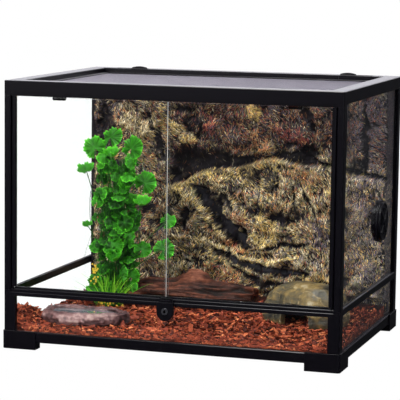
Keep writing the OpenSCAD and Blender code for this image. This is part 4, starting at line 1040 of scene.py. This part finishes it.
HIDE_PAINT = painted("hide_paint", [
    (0.1, (0.02, 0.02, 0.018)), (0.33, (0.06, 0.053, 0.035)), (0.5, (0.115, 0.084, 0.038)),
    (0.66, (0.2, 0.135, 0.045)), (0.95, (0.42, 0.36, 0.25)),
], 60, 0.42, 0.35)
WOOD_GRAIN = painted("wood_grain", [
    (0.05, (0.006, 0.003, 0.002)), (0.35, (0.04, 0.012, 0.007)), (0.6, (0.12, 0.038, 0.02)),
    (0.95, (0.27, 0.105, 0.058)),
], 90, 0.6, 0.15)
DISH_PAINT = painted("dish_paint", [
    (0.05, (0.02, 0.009, 0.01)), (0.35, (0.085, 0.036, 0.037)), (0.6, (0.185, 0.095, 0.093)),
    (0.95, (0.36, 0.24, 0.22)),
], 110, 0.5, 0.4)
carved("hide_cave", hide_relief, HIDE_PAINT, 6)
carved("driftwood", wood_relief, WOOD_GRAIN, 6)
carved("water_dish", dish_relief, DISH_PAINT, 4)


def water():
    m, nt, out = new_material("water_look")
    surface(nt, out, Base_Color=(0.17, 0.18, 0.2), Roughness=0.06, Specular_IOR_Level=0.8, Coat_Weight=0.6)
    wear(nodes["dish_water"], m)


water()


# -------- plant

def leaf_material(name, dark, mid, light):
    m, nt, out = new_material(name)
    tone = attribute(nt, "tone", "Fac")
    shade = placed(nt, MOTTLED_SHADE, Shade=tone, Scale=120, Detail=3, Amount=0.5)["Shade"]
    color = ramp(nt, shade, [(0.0, dark), (0.5, mid), (1.0, light)])
    surface(nt, out, Base_Color=color, Roughness=0.45, Specular_IOR_Level=0.15)
    return m


LEAF = leaf_material("leaf_green", (0.005, 0.04, 0.002), (0.03, 0.23, 0.006), (0.14, 0.64, 0.035))
STEM = leaf_material("stem_green", (0.004, 0.022, 0.004), (0.018, 0.11, 0.01), (0.16, 0.45, 0.04))
GRASS = leaf_material("grass_green", (0.02, 0.12, 0.004), (0.09, 0.42, 0.012), (0.34, 0.75, 0.05))

# Place in mm, radius in mm, lean and turn of each large leaf, and how far its rim is drawn up.
LARGE_LEAVES = [
    (-230, 28, 334, 23, 16, -0.4, 0.16), (-200, 34, 354, 23, 30, 0.1, 0.2), (-156, 24, 336, 24, 10, 0.5, 0.14),
    (-190, 12, 320, 17, 74, 0.1, 0.85), (-240, 12, 292, 18, 58, -0.6, 0.4), (-132, 30, 272, 23, 8, 0.6, 0.12),
    (-164, 16, 260, 17, 72, 0.2, 0.8), (-92, 22, 152, 21, 22, 0.9, 0.15), (-93, 46, 202, 17, 40, 0.8, 0.2),
    (-242, 26, 188, 11, 62, -1.0, 0.4), (-210, 42, 296, 22, 30, -0.3, 0.2), (-176, 44, 286, 21, 26, 0.4, 0.2),
    (-214, 10, 250, 16, 40, -0.4, 0.3), (-130, 14, 234, 18, 66, 0.5, 0.6), (-154, 26, 236, 15, 50, 0.2, 0.5),
    (-190, 14, 200, 17, 34, 0.2, 0.3), (-166, 18, 196, 18, 30, 0.4, 0.2), (-183, 8, 156, 19, 24, -0.1, 0.3),
    (-181, 2, 128, 17, 72, 0.1, 0.8), (-134, 24, 150, 18, 36, 0.7, 0.2),
]
LEAF_RINGS = 6


def fan_leaf(leaves, start, centre, radius, tilt, roll, yaw, cup, r, darkest=-0.1):
    """A crimped fan leaf with a scalloped rim, bent from a grid. centre is where its stem meets it."""
    turn = Matrix.Rotation(yaw, 3, "Z") @ Matrix.Rotation(math.radians(90) - tilt, 3, "X")
    turn = np.array(turn @ Matrix.Rotation(roll, 3, "Z"))
    phase, wave = r.uniform(0, 6, 2)
    f = np.linspace(0, 1, LEAF_RINGS + 1)[:, None]
    t = np.radians(np.linspace(-158, 158, len(start.vertices) // (LEAF_RINGS + 1)))[None, :]
    crimp = np.cos(t * 21 + phase)
    fold = np.cos(t * 7 + wave) + 0.6 * np.cos(t * 4 - wave)
    out = radius * f * (1 + (0.05 * crimp + 0.05 * fold) * f ** 3) * (0.92 + 0.08 * np.cos(t))
    height = radius * (cup * f * f + 0.1 * fold * f * f + 0.045 * crimp * f * f)
    places = np.stack([out * np.sin(t), out * np.cos(t), height * np.ones_like(t)], -1).reshape(-1, 3)
    tone = 0.2 + 0.3 * f ** 2 + 0.34 * smooth(0.86, 1.0, f) + 0.08 * fold * f + 0.07 * crimp * f
    tone = tone + 0.25 * np.exp(-f / 0.12) + r.uniform(darkest, 0.12)
    leaves.add(start, places @ turn.T + centre, tone.ravel())


def rod(sides, rings):
    """An upright closed cylinder with evenly spaced rings of corners."""
    def make(bm):
        bmesh.ops.create_cone(bm, cap_ends=True, segments=sides, radius1=1, radius2=1, depth=2)
        upright = [e for e in bm.edges if e.verts[0].co.z * e.verts[1].co.z < 0]
        bmesh.ops.subdivide_edges(bm, edges=upright, cuts=rings - 2)
    return shape(make)


def stalk(start, path, radius):
    """A rod's corners, moved along a path in mm."""
    path = np.array(path)
    x, y, z = corners(start).T
    ring = np.rint((z + 1) / 2 * (len(path) - 1)).astype(int)
    along_it = np.gradient(path, axis=0)
    along_it /= np.linalg.norm(along_it, axis=1)[:, None]
    one = np.cross(along_it, (0.3, 0.9, 0.1))
    one /= np.linalg.norm(one, axis=1)[:, None]
    other = np.cross(along_it, one)
    return path[ring] + radius * (y[:, None] * one[ring] - x[:, None] * other[ring])


def leaves_and_stalks(r):
    leaves = Cluster()
    start = grid(120, LEAF_RINGS)
    for x, y, z, radius, lean, roll, cup in LARGE_LEAVES:
        yaw, cup = r.uniform(-0.3, 0.3), -cup if lean < 45 else cup
        fan_leaf(leaves, start, (x, y, z), radius * 0.98, math.radians(lean), -roll, yaw, cup, r)
    start = grid(84, LEAF_RINGS)
    for _ in range(120):
        x, z, y = r.uniform(-224, -146), r.uniform(64, 322), r.uniform(4, 50)
        radius, tilt = r.uniform(8, 16), r.uniform(0.15, 1.3)
        roll, yaw = r.uniform(-2.5, 2.5), r.uniform(-0.6, 0.6)
        fan_leaf(leaves, start, (x, y, z), radius, tilt, roll, yaw, -0.35, r, -0.34)
    o = leaves.build("plant_fan_leaves", LEAF)
    close_poles(o)
    belongs(o, stands_for="plant_leaves")

    stalks = Cluster()
    steps = np.linspace(0, 1, 12)
    thin, thick = rod(4, len(steps)), rod(5, len(steps))
    for k in range(190):
        x, y = r.normal(-187, 17), r.uniform(30, 62)
        top, low = r.uniform(210, 320), r.uniform(60, 170)
        sway = r.uniform(-16, 16)
        path = [
            (x + sway * t * t + 3 * math.sin(5 * t + k), y + 6 * math.sin(3 * t + k), top + (low - top) * t)
            for t in steps
        ]
        radius = r.uniform(0.25, 0.75)
        stalks.add(thin, stalk(thin, path, radius), r.uniform(0.05, 0.6))
    foot_y, foot_z = 22, 58
    for x, y, z, *_ in LARGE_LEAVES:
        foot_x = -190 + 10 * math.sin(x)
        path = [
            (foot_x + (x - foot_x) * t ** 1.5, foot_y + (y - foot_y) * t, foot_z + (z - foot_z) * t ** 0.8)
            for t in steps
        ]
        stalks.add(thick, stalk(thick, path, 0.9), 0.3)
    belongs(stalks.build("plant_stalks", STEM), stands_for="plant_stems")


def grass_and_flowers(r):
    blades = Cluster()
    rows = np.arange(6)
    start = grid(2, len(rows) - 1)
    for _ in range(230):
        x, y = float(np.clip(r.normal(-192, 11), -216, -160)), r.uniform(-4, 34)
        height = r.uniform(18, 66) * (1.0 if x > -215 else 0.7)
        lean = r.normal(0, 13) + (x + 192) * 1.1
        half = r.uniform(0.7, 1.7)
        t = rows / rows[-1]
        wide = half * np.minimum(1, 0.04 + 2.6 * t * t) * (1 - t * t) + 0.08
        spine = np.column_stack([x + lean * t * t, y - 5 * t * t, 42 + height * t])
        edge = np.column_stack([wide, 0 * t, 0 * t])
        places = np.stack([spine - edge, spine - (0, 0.5, 0), spine + edge], 1).reshape(-1, 3)
        # Each blade is dark at its foot, a painted shade in the base of the clump.
        tone = r.uniform(0.25, 1.0) * np.minimum(1, 0.02 + 0.4 * rows)
        blades.add(start, places, np.repeat(tone, 3))
    belongs(blades.build("plant_grass", GRASS))

    m, nt, out = new_material("flower_yellow")
    surface(nt, out, Base_Color=(0.85, 0.55, 0.03), Roughness=0.6)
    petals = Cluster()
    start = grid(1, 1, flip=True)
    for k in range(44):
        low = k % 2
        x = r.normal(-186, 10) if low else r.normal(-216, 4)
        z = r.uniform(46, 62) if low else r.uniform(84, 122)
        y = r.uniform(-14, -4) if low else r.uniform(-12, 4)
        for j in range(5):
            a = 2 * math.pi * j / 5 + k
            c, s = math.cos(a), math.sin(a)
            petal = [
                (0, 0, 0), (1.2 * c - 0.7 * s, 0.3, 1.2 * s + 0.7 * c),
                (1.2 * c + 0.7 * s, 0.3, 1.2 * s - 0.7 * c), (2.2 * c, -0.3, 2.2 * s),
            ]
            petals.add(start, np.array(petal) + (x, y, z), 1.0)
    belongs(petals.build("plant_flowers", m, False))


plant_chance = np.random.default_rng(5)
leaves_and_stalks(plant_chance)
grass_and_flowers(plant_chance)
dressed("plant_base", BLACK_SOFT)


# -------- stage, light, camera

def ray_mix(nt, out, camera, through, glossy, other):
    """Joins four shaders by the kind of ray that meets them."""
    path = nt.nodes.new("ShaderNodeLightPath").outputs
    mirrored = math_node(nt, "GREATER_THAN", path["Glossy Depth"], 0.5)
    looks = mix_shader(nt, path["Is Transmission Ray"], other, through)
    looks = mix_shader(nt, mirrored, looks, glossy)
    connect(nt, out.inputs["Surface"], mix_shader(nt, path["Is Camera Ray"], looks, camera))


def glow(nt, color, strength, kind="ShaderNodeEmission"):
    return node(nt, kind, Color=color, Strength=strength).outputs[0]


def floor():
    """A floor that looks white, takes the object's shadow, and is dark to what mirrors it."""
    m, nt, out = new_material("floor_white")
    matt = node(nt, "ShaderNodeBsdfPrincipled", Base_Color=(0.85, 0.85, 0.85), Roughness=0.9)
    ray_mix(
        nt, out, glow(nt, (1, 1, 1), 1.0), glow(nt, (1, 1, 1), 1.35), glow(nt, (0.9, 0.92, 1), 0.03),
        matt.outputs["BSDF"],
    )
    s, z = 14000, -0.5
    corners_mm = np.array([[(-s, -s, z), (s, -s, z)], [(-s, s, z), (s, s, z)]])
    sheet("floor", corners_mm, m)


def studio():
    """A white backdrop, and bands of light and dark for the frame and the glass to mirror."""
    world = bpy.data.worlds.new("studio")
    bpy.context.scene.world = world
    world.use_nodes = True
    nt = world.node_tree
    nt.nodes.clear()
    out = nt.nodes.new("ShaderNodeOutputWorld")
    kind = "ShaderNodeBackground"
    height = node(nt, "ShaderNodeSeparateXYZ", Vector=nt.nodes.new("ShaderNodeTexCoord").outputs["Generated"])
    level = ramp(nt, height.outputs["Z"], [
        (0.0, (0.02, 0.02, 0.03)), (0.03, (0.12, 0.12, 0.15)), (0.055, (0.95, 0.93, 1.0)),
        (0.1, (0.9, 0.88, 1.0)), (0.15, (0.06, 0.06, 0.08)), (0.5, (0.05, 0.05, 0.06)),
        (0.8, (0.7, 0.72, 0.8)), (1.0, (0.9, 0.92, 1.0)),
    ])
    ray_mix(
        nt, out, glow(nt, (1, 1, 1), 1.0, kind), glow(nt, (1, 1, 1), 1.35, kind), glow(nt, level, 1.0, kind),
        glow(nt, (0.93, 0.95, 1.0), 0.5, kind),
    )


def area(name, place, aim, size, power, color, size_y=None):
    lamp = bpy.data.lights.new(name, "AREA")
    lamp.shape = "RECTANGLE"
    lamp.size = size
    lamp.size_y = size_y or size
    lamp.energy = power
    lamp.color = color
    o = linked(name, lamp)
    o.location = place
    o.rotation_mode = "QUATERNION"
    o.rotation_quaternion = (Vector(aim) - Vector(place)).to_track_quat("-Z", "Y")


def aim_camera():
    """The camera fitted to the upright edges in the photograph, with its distances in metres."""
    focal_px, picture_px = 1977.4, 400
    aim, distance = Vector((-0.01558, 0, 0.25027)), 3.5871
    yaw, pitch, roll = math.radians(17.398), math.radians(7.193), math.radians(0.724)
    lens = bpy.data.cameras.new("camera")
    lens.sensor_width = 36.0
    lens.lens = focal_px / picture_px * lens.sensor_width
    lens.clip_start, lens.clip_end = 0.05, 60
    camera = linked("camera", lens)
    bpy.context.scene.camera = camera
    forward = Vector((-math.sin(yaw) * math.cos(pitch), math.cos(yaw) * math.cos(pitch), -math.sin(pitch)))
    right = Vector((math.cos(yaw), math.sin(yaw), 0))
    up = right.cross(forward)
    right, up = math.cos(roll) * right + math.sin(roll) * up, math.cos(roll) * up - math.sin(roll) * right
    turn = Matrix((right, up, -forward)).transposed()
    camera.matrix_world = Matrix.Translation(aim - distance * forward) @ turn.to_4x4()


floor()
studio()
area("key", (-1.5, -2.6, 1.5), (0, 0.1, 0.25), 0.9, 75, (1, 0.98, 0.95))
area("fill", (2.2, -2.4, 1.0), (0, 0, 0.2), 1.2, 22, (0.95, 0.97, 1.0))
area("top", (0.0, -0.35, 1.8), (0, 0.12, 0.3), 0.8, 60, (1.0, 0.99, 0.97))
area("rear", (-0.4, 2.6, 1.2), (0, 0, 0.45), 2.4, 16, (0.95, 0.94, 1.0), 1.0)
aim_camera()
bpy.context.scene.view_settings.view_transform = "Standard"
